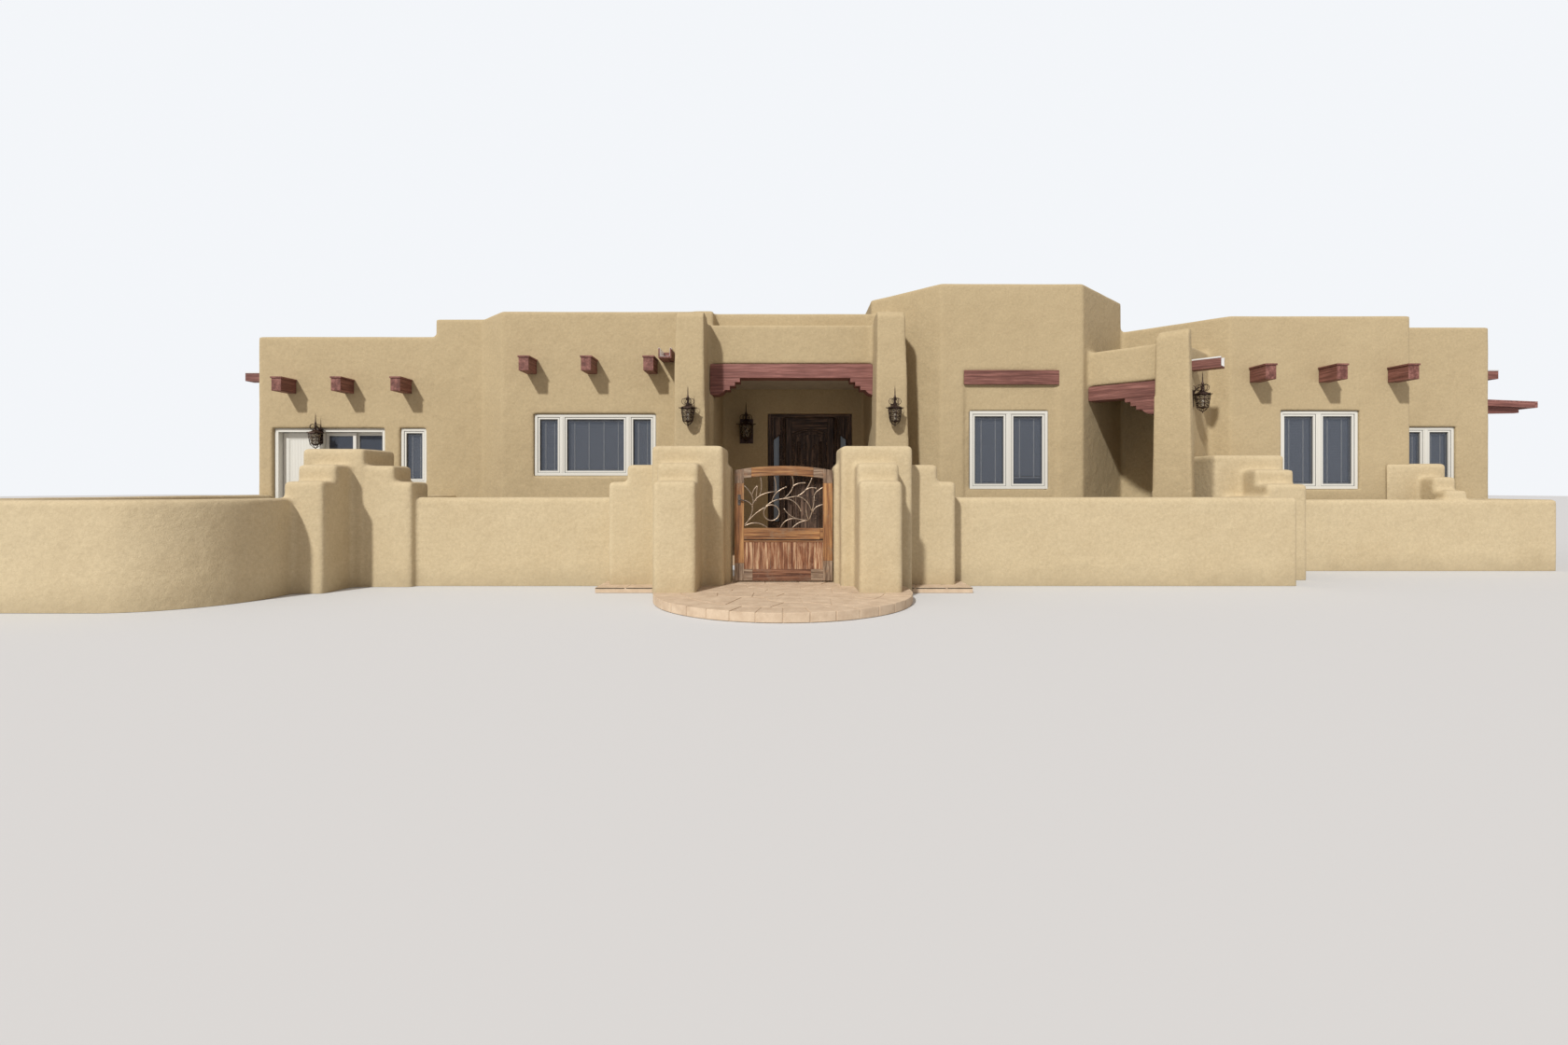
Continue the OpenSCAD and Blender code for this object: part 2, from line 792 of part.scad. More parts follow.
module portal_beam() {
  color(timber) translate([-portal_left - beam_end, portal_face, beam_z])
    beam(tower_left + portal_left + 2 * beam_end, beam_h, beam_t, true, true);
}

module tower_beam() {
  color(timber) span([lintel_x, lintel_x + lintel_w],
    [tower_face - lintel_out, tower_face + panel_in], [lintel_z, lintel_z + beam_h]);
}

module porch_beam() {
  color(timber) at_porch() translate([run, 0, porch_beam_z])
    beam(porch_w - run, beam_h, porch_t, false, true);
}

// one projecting roof beam with its cap board; its root is at the origin, pointing to -y
module viga() {
  span([-viga_w / 2, viga_w / 2], [-viga_out, 0], [-viga_h, -viga_cap]);
  span([-viga_w / 2 - viga_lip, viga_w / 2 + viga_lip], [-viga_out - viga_lip, 0], [-viga_cap, 0]);
}

module vigas() {
  color(timber) {
    for (i = [0:2]) {
      translate([garden_viga_x + i * viga_pitch, garden_face, low_viga_z]) viga();
      translate([lounge_viga_x + i * viga_pitch, lounge_face, lounge_viga_z]) viga();
      translate([bedroom_viga_x + i * bedroom_viga_pitch, tower_face, bedroom_viga_z]) viga();
    }
    for (i = [0:3], j = [0, 1]) if (i != 2 || j == 0)
      translate([rear_viga_x + i * rear_win_pitch + j * viga_pitch, house_back, low_viga_z])
        rotate(180) viga();
  }
}

// open-topped spout; its root is at the origin, pointing to -y
module spout() {
  difference() {
    span([-spout_w / 2, spout_w / 2], [-spout_out, 0], [-spout_h, 0]);
    span([-spout_w / 2 + spout_t, spout_w / 2 - spout_t], [-spout_out - spout_t, -spout_t],
      [-spout_h + spout_t, spout_h]);
  }
}

module roof_spouts() {
  color(timber) {
    translate([lounge_spout_x, lounge_face, lounge_spout_z]) spout();
    translate([left_x, garden_face + wall_t, side_spout_z]) rotate(-90) spout();
    at_porch() translate([porch_w + porch_t, porch_spout_in, porch_beam_top + deck_t + spout_h])
      rotate(90) spout();
    translate([house_right, end_face + wall_t, side_spout_z]) rotate(90) spout();
  }
}

module side_canopy() {
  y = end_door_y + end_door_w / 2 - canopy_len / 2 - 60;
  fall = 50;
  post = 90;
  color(timber) {
    translate([house_right, y + canopy_len, canopy_z]) rotate([90, 0, 0]) linear_extrude(canopy_len)
      polygon([[0, 0], [canopy_out, -fall], [canopy_out, -fall - canopy_t], [0, -canopy_t]]);
    for (by = [y + post, y + canopy_len - 2 * post])
      translate([house_right, by + post, canopy_z - canopy_t]) rotate([90, 0, 0]) linear_extrude(post)
        polygon([[0, 0], [canopy_out * 0.8, -fall * 0.8], [canopy_out * 0.8, -fall * 0.8 - post],
          [post * 2, -post * 1.6], [post, -post * 6], [0, -post * 6]]);
  }
}

module window_frames() {
  color(white) for (w = WINDOWS) at_window(w) frame(w[3], w[4], w[5]);
}

module window_glass() {
  color(glass) for (w = WINDOWS) at_window(w) panes(w[3], w[4], w[5]);
}

// the entry unit from outside to inside
entry_y = recess_face + 100;
jamb_w = 50;
post_w = 60;
entry_frame_d = 140;
leaf_hole = door_w + 2 * gap;
side_w = (entry_w - 2 * jamb_w - 2 * post_w - leaf_hole) / 2;
leaf_x = entry_x + jamb_w + side_w + post_w + gap;
slot_w = 105;
slot_z = [floor_z + 420, floor_z + 2050];

module side_slots() {
  for (x = [entry_x + jamb_w + side_w / 2, entry_x + entry_w - jamb_w - side_w / 2])
    span([x - slot_w / 2, x + slot_w / 2], [entry_y - 40, entry_y + entry_frame_d + 40], slot_z);
}

entry_hinge_z = [floor_z + 200, floor_z + 1150, floor_z + 2100];
entry_pin = [leaf_x + door_w + gap / 2, entry_y + entry_frame_d + hinge_off];

module entry_frame() {
  color(iron) translate(entry_pin) hinge_barrel(entry_hinge_z, 0);
  color(door_wood) difference() {
    span([entry_x, entry_x + entry_w], [entry_y, entry_y + entry_frame_d],
      [floor_z, floor_z + entry_h]);
    span([leaf_x - gap, leaf_x + door_w + gap], [entry_y - 40, entry_y + entry_frame_d + 40],
      [floor_z - 40, floor_z + entry_h - post_w]);
    side_slots();
  }
}

module entry_glass() {
  y = entry_y + entry_frame_d / 2;
  color(glass) intersection() {
    side_slots();
    span([entry_x, entry_x + entry_w], [y, y + pane_t], [0, tower_top]);
  }
}

module entry_door() {
  h = entry_h - post_w - 2 * gap;
  y = entry_y + entry_frame_d - door_t;
  panel_in = 150;
  panel_w = door_w - 2 * panel_in;
  raise = 14;
  color(door_wood) {
    span([leaf_x, leaf_x + door_w], [y, y + door_t], [floor_z + gap, floor_z + gap + h]);
    translate([leaf_x + panel_in, y, floor_z + panel_in]) rotate([90, 0, 0]) linear_extrude(raise)
      union() {
        square([panel_w, h - 3 * panel_in]);
        intersection() {
          translate([panel_w / 2, h - 3 * panel_in - panel_w]) circle(panel_w * 1.118);
          square([panel_w, h]);
        }
      }
  }
  color(iron) translate(entry_pin) hinge_plate(entry_hinge_z);
  color(iron) translate([leaf_x + 65, y, floor_z + 950]) rotate([90, 0, 0]) {
    cylinder(h = 70, r = 12);
    translate([0, 0, 56]) rotate([90, 0, 0]) translate([0, 0, -150]) cylinder(h = 300, r = 11);
    cylinder(h = 8, r = 34);
  }
}

// garden room doors: hinged leaf on the left, sliding sash on the right
patio_y = garden_face + 60;
patio_d = 160;
patio_z = [floor_z, low_head_z];
garden_leaf_x = patio_x + patio_frame + gap;
post_x = garden_leaf_x + leaf_w + gap;
sash_x = post_x + patio_frame;
sash_right = patio_right - patio_frame;
sash_w = (sash_right - sash_x) / 2 + 10;
sash_t = 40;
slide_gap = 12;
slider_y = patio_y + patio_d - 2 * sash_t - slide_gap;

module patio_hole(x) {
  span(x, [patio_y - 20, patio_y + patio_d + 20], [floor_z + patio_frame, low_head_z - patio_frame]);
}

garden_hinge_z = [floor_z + 180, floor_z + 900, floor_z + 1750];
garden_pin = [garden_leaf_x - gap / 2, patio_y + patio_d + hinge_off];

module garden_door_frame() {
  color(white) translate(garden_pin) mirror([1, 0]) hinge_barrel(garden_hinge_z, 0);
  color(white) {
    difference() {
      span([patio_x, patio_right], [patio_y, patio_y + patio_d], patio_z);
      span([patio_x + patio_frame, post_x], [patio_y - 20, patio_y + patio_d + 20],
        [floor_z + patio_frame / 2, low_head_z - patio_frame]);
      patio_hole([sash_x, sash_right]);
    }
    span([patio_x, patio_right], [garden_face, garden_face + wall_t], [0, floor_z]);
    sash(sash_right - sash_w, patio_y + patio_d - sash_t, floor_z + patio_frame,
      low_head_z - patio_frame);
    span([sash_x, sash_right], [slider_y + sash_t / 4, slider_y + sash_t * 3 / 4],
      [floor_z + patio_frame, floor_z + patio_frame + gap - run]);
  }
}

// a glazed sash with one lights opening and a thin pane filling it
module sash(x, y, z0, z1) {
  member = 55;
  difference() {
    span([x, x + sash_w], [y, y + sash_t], [z0, z1]);
    span([x + member, x + sash_w - member], [y - 1, y + (sash_t - pane_t) / 2],
      [z0 + member, z1 - member]);
    span([x + member, x + sash_w - member], [y + (sash_t + pane_t) / 2, y + sash_t + 1],
      [z0 + member, z1 - member]);
  }
}

module garden_slider() {
  color(white) sash(sash_x + gap, slider_y, floor_z + patio_frame + gap, low_head_z - patio_frame - gap);
}

module garden_door_leaf() {
  y = patio_y + patio_d - door_t;
  z0 = floor_z + patio_frame / 2 + gap;
  z1 = low_head_z - patio_frame - gap;
  inset = 95;
  sink = 10;
  color(white) translate(garden_pin) mirror([1, 0]) hinge_plate(garden_hinge_z);
  color(white) difference() {
    span([garden_leaf_x, garden_leaf_x + leaf_w], [y, y + door_t], [z0, z1]);
    span([garden_leaf_x + inset, garden_leaf_x + leaf_w - inset], [y - 1, y + sink],
      [z0 + 2 * inset, z1 - inset]);
  }
  color(iron) translate([garden_leaf_x + leaf_w - inset / 2, y, 1150]) rotate([90, 0, 0]) {
    cylinder(h = 45, r = 10);
    translate([-90, -8, 30]) cube([100, 16, 14]);
  }
}

module side_door() {
  color(white) span([house_right - 140, house_right - 90], [end_door_y, end_door_y + end_door_w],
    [floor_z, floor_z + end_door_h]);
}

// one wall lantern: a cage under a hipped cap with a spike, hung from an arm on a back plate;
// its back is at y = 0 and leans with the wall, and it stands out to -y
module lantern(lean = 0) {
  plate_t = 12;
  arm = 16;
  arm_z = cage_h + 70;
  rotate([-lean, 0, 0]) translate([-45, -plate_t, -60]) cube([90, plate_t, 260]);
  translate([-arm / 2, -lamp_reach, 60]) cube([arm, lamp_reach - plate_t / 2, arm]);
  translate([0, -lamp_reach, -cage_h / 2]) {
    translate([-cage_w / 2, -cage_w / 2, 0]) cube([cage_w, cage_w, cage_h]);
    translate([0, 0, -35]) cylinder(h = 35, r1 = 12, r2 = cage_w / 3);
    translate([0, 0, cage_h]) cylinder(h = 60, r1 = cage_w * 0.68, r2 = 30);
    translate([0, 0, cage_h + 60]) cylinder(h = 130, r = 30);
    translate([0, 0, arm_z + 120]) cylinder(h = 170, r1 = 14, r2 = 4);
  }
}

module lanterns() {
  batter = (buttress_out - buttress_in) / (buttress_top - buttress_round);
  lamp_y = portal_face - buttress_out + batter * lamp_z - run;
  color(iron) {
    for (x = [left_buttress_x, right_buttress_x + 20]) translate([x, lamp_y, lamp_z])
      lantern(atan(batter));
    translate([recess_lamp_x, recess_face, lamp_z - 60]) lantern();
    translate([post_x + 20, patio_y, garden_lamp_z]) lantern();
    at_porch() translate([porch_w + porch_t, porch_spout_in, porch_lamp_z])
      rotate(90) lantern();
  }
}

// steps of the piers overlap by this much inside one piece
lap = 2 * soft_r + 20;
gate_left = gate_x - latch_gap;
gate_right = gate_x + gate_w + gap;
steps_run = side_run + side_low_run;
pier_front = court_face - gate_pier_out;
pier_back = court_face + gate_pier_in;
left_pier_right = left_pier_x + left_pier_w;
left_pier_front = court_face - 105;
left_pier_back = left_pier_front + left_pier_d;
left_fin_x = left_pier_x + left_fin_in;
garden_corner_x = left_fin_x + fin_w - garden_corner_in - garden_wall_r;
garden_corner_y = garden_wall_face + garden_wall_r;

module court_walls() {
  color(plaster_light) {
    soft_run_x([left_pier_right + steps_run, gate_left - jamb_fin - gate_pier_w - steps_run],
      court_face, court_h);
    soft_run_x([gate_right + jamb_fin + gate_pier_w + steps_run, court_right], court_face, court_h);
    soft_run_y(court_right - court_t, [court_face + court_t - soft_r, tower_face - court_pier_out],
      court_h);
    soft_run_y(left_pier_x + 194, [left_pier_back, garden_face], court_h);
  }
}

module garden_court_wall() {
  color(plaster_light) {
    soft_run_x([left_x, garden_corner_x], garden_wall_face, court_h);
    soft_run_y(left_x, [garden_wall_face + court_t / 2, garden_face], court_h);
    translate([garden_corner_x, garden_corner_y, 0]) rotate([0, 0, -90]) rotate_extrude(angle = 90)
      translate([garden_wall_r - court_t, 0]) soft_section(court_t, court_h);
    soft_run_y(garden_corner_x + garden_wall_r - court_t,
      [garden_corner_y, left_pier_front - fin_run - fin_low_run], court_h);
  }
}

module end_court_wall() {
  color(plaster_light) {
    soft_run_x([court_pier_x + court_pier_w, end_wall_right], end_wall_face, end_wall_h);
    soft_run_y(end_wall_right - court_t, [end_wall_face + court_t / 2, end_face], end_wall_h);
  }
}

// stepped pier: a block with two front steps, and two side steps on each side that has them
module stepped_pier(x, y, fin_x, fin, drop, sides, side_y) {
  soft_block(x, y, pier_h - drop);
  soft_block([fin_x, fin_x + fin], [y[0] - fin_run, y[0] + lap], step_h - drop);
  soft_block([fin_x, fin_x + fin], [y[0] - fin_run - fin_low_run, y[0] - fin_run + lap],
    low_h - drop);
  for (s = sides) translate([s > 0 ? x[1] : x[0], 0, 0]) mirror([s > 0 ? 0 : 1, 0, 0]) {
    soft_block([-lap, side_run], [side_y, side_y + side_d], step_h - drop);
    soft_block([side_run - lap, steps_run], [side_y, side_y + side_d], low_h - drop);
  }
}

module left_pier() {
  color(plaster_light) stepped_pier([left_pier_x, left_pier_right],
    [left_pier_front, left_pier_back], left_fin_x, fin_w, 0, [1],
    left_pier_front + 15);
}

module gate_pier_left() {
  x1 = gate_left - jamb_fin;
  color(plaster_light) {
    stepped_pier([x1 - gate_pier_w, x1], [pier_front, pier_back], x1 - gate_pier_w + 115, fin_w, 0,
      [-1], pier_back - side_d);
    soft_block([x1 - lap, gate_left], [gate_face - 80, gate_face + 370], step_h);
  }
}

module gate_pier_right() {
  x0 = gate_right + jamb_fin;
  color(plaster_light) {
    stepped_pier([x0, x0 + gate_pier_w], [pier_front, pier_back], x0 + 160, fin_w, 0, [1],
      pier_back - side_d);
    soft_block([gate_right, x0 + lap], [gate_face - 80, gate_face + 370], step_h);
  }
}

court_pier_x = court_right - court_t - 130;

module court_pier() {
  color(plaster_light) difference() {
    stepped_pier([court_pier_x, court_pier_x + court_pier_w],
      [tower_face - court_pier_out, tower_face], court_right, fin_w + 70, 26, [], 0);
    at_porch() span([0, porch_w + porch_t], [0, porch_d + porch_t], [0, porch_top]);
    porch_buttress();
  }
}

module end_pier() {
  front = tower_face - end_pier_out;
  middle = front - fin_run + 35;
  drop = 116;
  fin = [end_fin_x, end_fin_x + end_fin_w];
  color(plaster_light) difference() {
    union() {
      soft_block([end_pier_x, end_pier_x + end_pier_w], [front, end_face], pier_h - drop);
      soft_block(fin, [middle, front + lap], step_h - drop);
      soft_block(fin, [middle - fin_low_run + 60, middle + lap], low_h - drop);
    }
    span([0, bedroom_right], [tower_face, end_face + 1], [-1, pier_h]);
    end_court_wall();
  }
}

module entry_step() {
  paved = 2250;
  paved_z = 60;
  color(stone) difference() {
    union() {
      translate([-10, step_y, 0]) cylinder(h = step_z, r = step_r, $fn = 96);
      span([-paved, paved], [1300, court_face], [0, paved_z]);
      span([gate_left, gate_right], [gate_face - 80, pier_back + 100], [0, step_z]);
    }
    gate_pier_left();
    gate_pier_right();
    court_walls();
  }
}

// gate leaf outline in x and z
gate_foot = step_z + 25;
arch_r = (gate_w * gate_w / 4 + gate_rise * gate_rise) / (2 * gate_rise);

module gate_outline(shrink) {
  intersection() {
    translate([gate_x + shrink, gate_foot]) square([gate_w - 2 * shrink, gate_side_z]);
    translate([gate_x + gate_w / 2, gate_side_z + gate_rise - arch_r]) circle(arch_r - shrink, $fn = 240);
  }
}

gate_hinge_z = [gate_foot + 110, gate_side_z - 110 - hinge_h];
gate_pin = [gate_right - barrel_r, gate_face + gate_t + hinge_off];

module gate_hinges() {
  color(iron) for (z = gate_hinge_z) translate([gate_pin[0], gate_pin[1], z]) {
    cylinder(h = hinge_h, r = barrel_r);
    translate([barrel_r - hinge_t, 0, 0]) cube([hinge_t, plate_len, hinge_h]);
  }
}

module gate_frame() {
  mid_z = 621;
  low_z = 256;
  panel_t = 22;
  color(gate_wood) {
    translate([0, gate_face + gate_t, 0]) rotate([90, 0, 0]) linear_extrude(gate_t) difference() {
      gate_outline(0);
      intersection() {
        gate_outline(gate_rail);
        translate([gate_x, mid_z + gate_rail * 1.2]) square([gate_w, gate_side_z]);
      }
      translate([gate_x + gate_rail, low_z]) square([gate_w - 2 * gate_rail, mid_z - low_z]);
    }
    span([gate_x + gate_rail, gate_x + gate_w - gate_rail],
      [gate_face + (gate_t - panel_t) / 2, gate_face + (gate_t + panel_t) / 2], [low_z, mid_z]);
  }
  color(iron) translate(gate_pin) hinge_plate(gate_hinge_z);
  color(iron) translate([gate_x + 60, gate_face, 1105]) rotate([90, 0, 0]) {
    cylinder(h = 30, r = 18);
    translate([-10, -8, 22]) cube([95, 16, 10]);
  }
}

// a curved bar in the gate, as a flat strip along a quadratic curve
function on_curve(a, b, c, s) = (1 - s) * (1 - s) * a + 2 * s * (1 - s) * b + s * s * c;
function along_curve(a, b, c, s) = 2 * (1 - s) * (b - a) + 2 * s * (c - b);
function beside(a, b, c, s, off) = let (d = along_curve(a, b, c, s))
  on_curve(a, b, c, s) + off * [-d[1], d[0]] / norm(d);

module curved_bar(a, b, c) {
  n = 8;
  polygon(concat([for (i = [0:n]) beside(a, b, c, i / n, bar_w / 2)],
    [for (i = [n:-1:0]) beside(a, b, c, i / n, -bar_w / 2)]));
}

// start, middle and end of each bar, in x and z from the opening's lower left corner
VINES = [
  [[-8, 15], [118, 155], [260, 258]], [[260, 258], [338, 319], [423, 350]],
  [[423, 350], [540, 372], [648, 391]], [[648, 391], [760, 472], [841, 640]],
  [[-8, 15], [84, 150], [102, 273]], [[102, 273], [98, 396], [-8, 530]],
  [[-8, 342], [50, 322], [102, 273]], [[100, 415], [125, 475], [163, 520]],
  [[163, 520], [155, 440], [146, 340]], [[102, 273], [190, 392], [372, 447]],
  [[186, 392], [214, 500], [199, 660]], [[342, 319], [393, 426], [515, 503]],
  [[388, 425], [390, 530], [367, 660]], [[495, 365], [566, 437], [600, 508]],
  [[600, 508], [658, 544], [745, 554]], [[600, 508], [605, 569], [586, 660]],
  [[742, 455], [811, 493], [882, 488]], [[470, 360], [607, 329], [699, 212]],
  [[640, 390], [760, 335], [836, 190]], [[796, 95], [845, 240], [862, 396]],
  [[862, 396], [898, 450], [980, 505]], [[843, 190], [885, 255], [980, 292]],
  [[765, 222], [773, 155], [796, 95]], [[490, 243], [607, 131], [796, 95]],
  [[444, -8], [525, 95], [660, 112]], [[587, -8], [678, 66], [796, 95]],
  [[-8, 15], [150, 62], [301, -8]]];

module gate_scrollwork() {
  y = gate_face + (gate_t + bar_w) / 2;
  z = 621 + gate_rail * 1.2;
  ring_r = 99;
  x = gate_x + gate_rail;
  color(iron) intersection() {
    translate([0, y, 0]) rotate([90, 0, 0]) linear_extrude(bar_w) {
      translate([x, z]) {
        for (v = VINES) curved_bar(v[0], 2 * v[1] - (v[0] + v[2]) / 2, v[2]);
        translate([337, 188]) difference() {
          circle(ring_r);
          circle(ring_r - bar_w);
        }
      }
    }
    translate([0, gate_face + gate_t, 0]) rotate([90, 0, 0]) linear_extrude(gate_t)
      intersection() {
        gate_outline(gate_rail);
        translate([x, z]) square([gate_w - 2 * gate_rail, gate_side_z]);
      }
  }
}

translate([-centre_x, -centre_y, 0]) {
  floor_slab();
  roof_deck();
  garden_wall_jambs();
  garden_wall_head();
  garden_side_wall();
  lounge_wall();
  portal_jambs();
  portal_wall();
  portal_parapet();
  portal_roof();
  portal_floor();
  entry_wall_jambs();
  entry_wall_head();
  tower_wall();
  tower_raised_walls();
  tower_roof();
  bedroom_wall();
  end_room_wall();
  end_side_wall();
  rear_wall();
  inner_parapet();
  portal_buttresses();
  porch_buttress();
  porch_walls();
  porch_roof();
  portal_beam();
  tower_beam();
  porch_beam();
  vigas();
  roof_spouts();
  side_canopy();
  window_frames();
  window_glass();
  entry_frame();
  entry_glass();
  entry_door();
  garden_door_frame();
  garden_door_leaf();
  garden_slider();
  side_door();
  lanterns();
  court_walls();
  garden_court_wall();
  end_court_wall();
  left_pier();
  gate_pier_left();
  gate_pier_right();
  court_pier();
  end_pier();
  entry_step();
  gate_hinges();
  gate_frame();
  gate_scrollwork();
}
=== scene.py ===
# %% [markdown]
# # A walled adobe house
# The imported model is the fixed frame. This script gives every piece its finish, softens the plaster,
# and builds the joinery, ironwork, lanterns and paving in its place.

# %%
import random
from math import atan, cos, degrees, pi, radians, sin, sqrt

import bmesh
import bpy
import numpy as np
from mathutils import Matrix, Vector


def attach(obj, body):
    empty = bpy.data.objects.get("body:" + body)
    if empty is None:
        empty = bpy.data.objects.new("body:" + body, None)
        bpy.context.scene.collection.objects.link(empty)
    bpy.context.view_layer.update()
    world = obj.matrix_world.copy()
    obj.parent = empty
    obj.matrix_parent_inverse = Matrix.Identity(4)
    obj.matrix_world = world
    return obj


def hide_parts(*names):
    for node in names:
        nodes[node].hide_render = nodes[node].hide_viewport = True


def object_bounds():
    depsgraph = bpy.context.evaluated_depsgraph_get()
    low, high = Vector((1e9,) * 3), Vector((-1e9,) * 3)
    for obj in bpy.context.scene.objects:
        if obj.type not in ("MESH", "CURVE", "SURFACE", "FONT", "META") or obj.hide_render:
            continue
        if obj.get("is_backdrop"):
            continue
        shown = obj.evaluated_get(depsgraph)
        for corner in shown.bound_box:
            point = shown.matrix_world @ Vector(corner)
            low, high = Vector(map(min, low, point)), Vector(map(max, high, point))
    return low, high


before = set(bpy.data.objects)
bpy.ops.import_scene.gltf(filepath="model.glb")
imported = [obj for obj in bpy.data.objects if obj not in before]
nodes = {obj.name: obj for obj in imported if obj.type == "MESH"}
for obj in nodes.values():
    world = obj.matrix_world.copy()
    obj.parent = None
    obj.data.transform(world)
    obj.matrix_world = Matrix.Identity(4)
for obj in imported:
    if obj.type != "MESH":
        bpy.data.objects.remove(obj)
low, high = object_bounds()

# %% [markdown]
# ## Plan coordinates
# The plan is written in metres from the gate's centre line, as the photograph was measured.
# `at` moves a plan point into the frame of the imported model. An opening is its lower left corner seen
# from outside, its height above the ground, its turn, its width and its height. A window adds the
# width shares of its lights.

# %%
PLAN_X, PLAN_Y = 1.84, 6.441
GARDEN_FACE, LOUNGE_FACE, TOWER_FACE = 5.07, 4.54, 4.05
PORTAL_FACE, RECESS_FACE, END_FACE = 4.3, 6.1, 4.83
HOUSE_BACK, HOUSE_LEFT, HOUSE_RIGHT = 13.05, -9.12, 11.98
FLOOR_Z, HEAD_Z, LOW_HEAD_Z, WALL = 0.2, 2.475, 2.285, 0.35
SQUARE = (1.24, 1.24, (0.5, 0.5))
WINDOWS = [
    (-4.142, LOUNGE_FACE, HEAD_Z - 1.02, 0, 2.01, 1.02, (0.196, 0.608, 0.196)),
    (2.957, TOWER_FACE, HEAD_Z - 1.24, 0, *SQUARE),
    (7.89, TOWER_FACE, HEAD_Z - 1.24, 0, *SQUARE),
    (10.45, END_FACE, LOW_HEAD_Z - 1.24, 0, 0.96, 1.24, (0.5, 0.5)),
    (-6.65, GARDEN_FACE, LOW_HEAD_Z - 0.96, 0, 0.44, 0.96, (1,)),
    (HOUSE_LEFT, 10.44, HEAD_Z - 1.24, -90, *SQUARE),
    (HOUSE_RIGHT, 9.2, HEAD_Z - 1.24, 90, *SQUARE)]
WINDOWS += [(-6.16 + 4 * i, HOUSE_BACK, HEAD_Z - 1.24, 180, *SQUARE) for i in range(5)]
DOORWAYS = [
    (-0.3, RECESS_FACE, FLOOR_Z, 0, 1.58, 2.45),
    (-8.86, GARDEN_FACE, FLOOR_Z, 0, 1.93, LOW_HEAD_Z - FLOOR_Z),
    (HOUSE_RIGHT, 5.6, FLOOR_Z, 90, 0.914, 2.032)]
random.seed(7)


def at(x, y, z=0.0, turn=0.0):
    """Matrix to a plan point, turned about z in degrees."""
    return move(x - PLAN_X, y - PLAN_Y, z) @ spin(turn, "Z")


def move(x, y, z):
    return Matrix.Translation((x, y, z))


def spin(angle, axis):
    return Matrix.Rotation(radians(angle), 4, axis)


PLAN = at(0, 0)
print(len(WINDOWS), "windows and", len(DOORWAYS), "doorways are placed")

# %% [markdown]
# ## Materials
# All finishes are procedural. Plaster, stone and roofing read Object coordinates, and timber reads
# the UVs that the builder functions write, with u along the grain and even blotches on the end grain.

# %%
def new_material(name, color, rough, metal=0.0):
    m = bpy.data.materials.new(name)
    m.use_nodes = True
    m.diffuse_color = (*color, 1)
    b = m.node_tree.nodes["Principled BSDF"]
    b.inputs["Base Color"].default_value = (*color, 1)
    b.inputs["Roughness"].default_value = rough
    b.inputs["Metallic"].default_value = metal
    return m, m.node_tree, b


def add(tree, kind, **values):
    n = tree.nodes.new(kind)
    for key, v in values.items():
        n.inputs[key].default_value = v
    return n


def noise(tree, coords, scale, detail, rough):
    n = add(tree, "ShaderNodeTexNoise", Scale=scale, Detail=detail, Roughness=rough)
    tree.links.new(coords, n.inputs["Vector"])
    return n.outputs["Fac"]


def ramp(tree, fac, stops):
    n = tree.nodes.new("ShaderNodeValToRGB")
    for i, (pos, color) in enumerate(stops):
        e = n.color_ramp.elements[i] if i < 2 else n.color_ramp.elements.new(pos)
        e.position = pos
        e.color = (*color, 1)
    tree.links.new(fac, n.inputs["Fac"])
    return n.outputs["Color"]


def mix(tree, fac, a, b):
    n = tree.nodes.new("ShaderNodeMix")
    n.data_type = "RGBA"
    for socket, v in ((n.inputs[0], fac), (n.inputs[6], a), (n.inputs[7], b)):
        if isinstance(v, bpy.types.NodeSocket):
            tree.links.new(v, socket)
        elif isinstance(v, tuple):
            socket.default_value = (*v, 1)
        else:
            socket.default_value = v
    return n.outputs[2]


def scale_range(tree, fac, a, b, low_out=0.0, high_out=1.0):
    limits = {"From Min": a, "From Max": b, "To Min": low_out, "To Max": high_out}
    n = add(tree, "ShaderNodeMapRange", **limits)
    tree.links.new(fac, n.inputs["Value"])
    return n.outputs["Result"]


def multiply(tree, value, factor, addend=None):
    n = tree.nodes.new("ShaderNodeMath")
    n.operation = "MULTIPLY_ADD" if addend else "MULTIPLY"
    n.inputs[1].default_value = factor
    tree.links.new(value, n.inputs[0])
    if addend:
        tree.links.new(addend, n.inputs[2])
    return n.outputs[0]


def bump(tree, shader, height, strength, distance, normal=None):
    n = add(tree, "ShaderNodeBump", Strength=strength, Distance=distance)
    tree.links.new(height, n.inputs["Height"])
    if normal:
        tree.links.new(normal, n.inputs["Normal"])
    tree.links.new(n.outputs["Normal"], shader.inputs["Normal"])
    return n.outputs["Normal"]


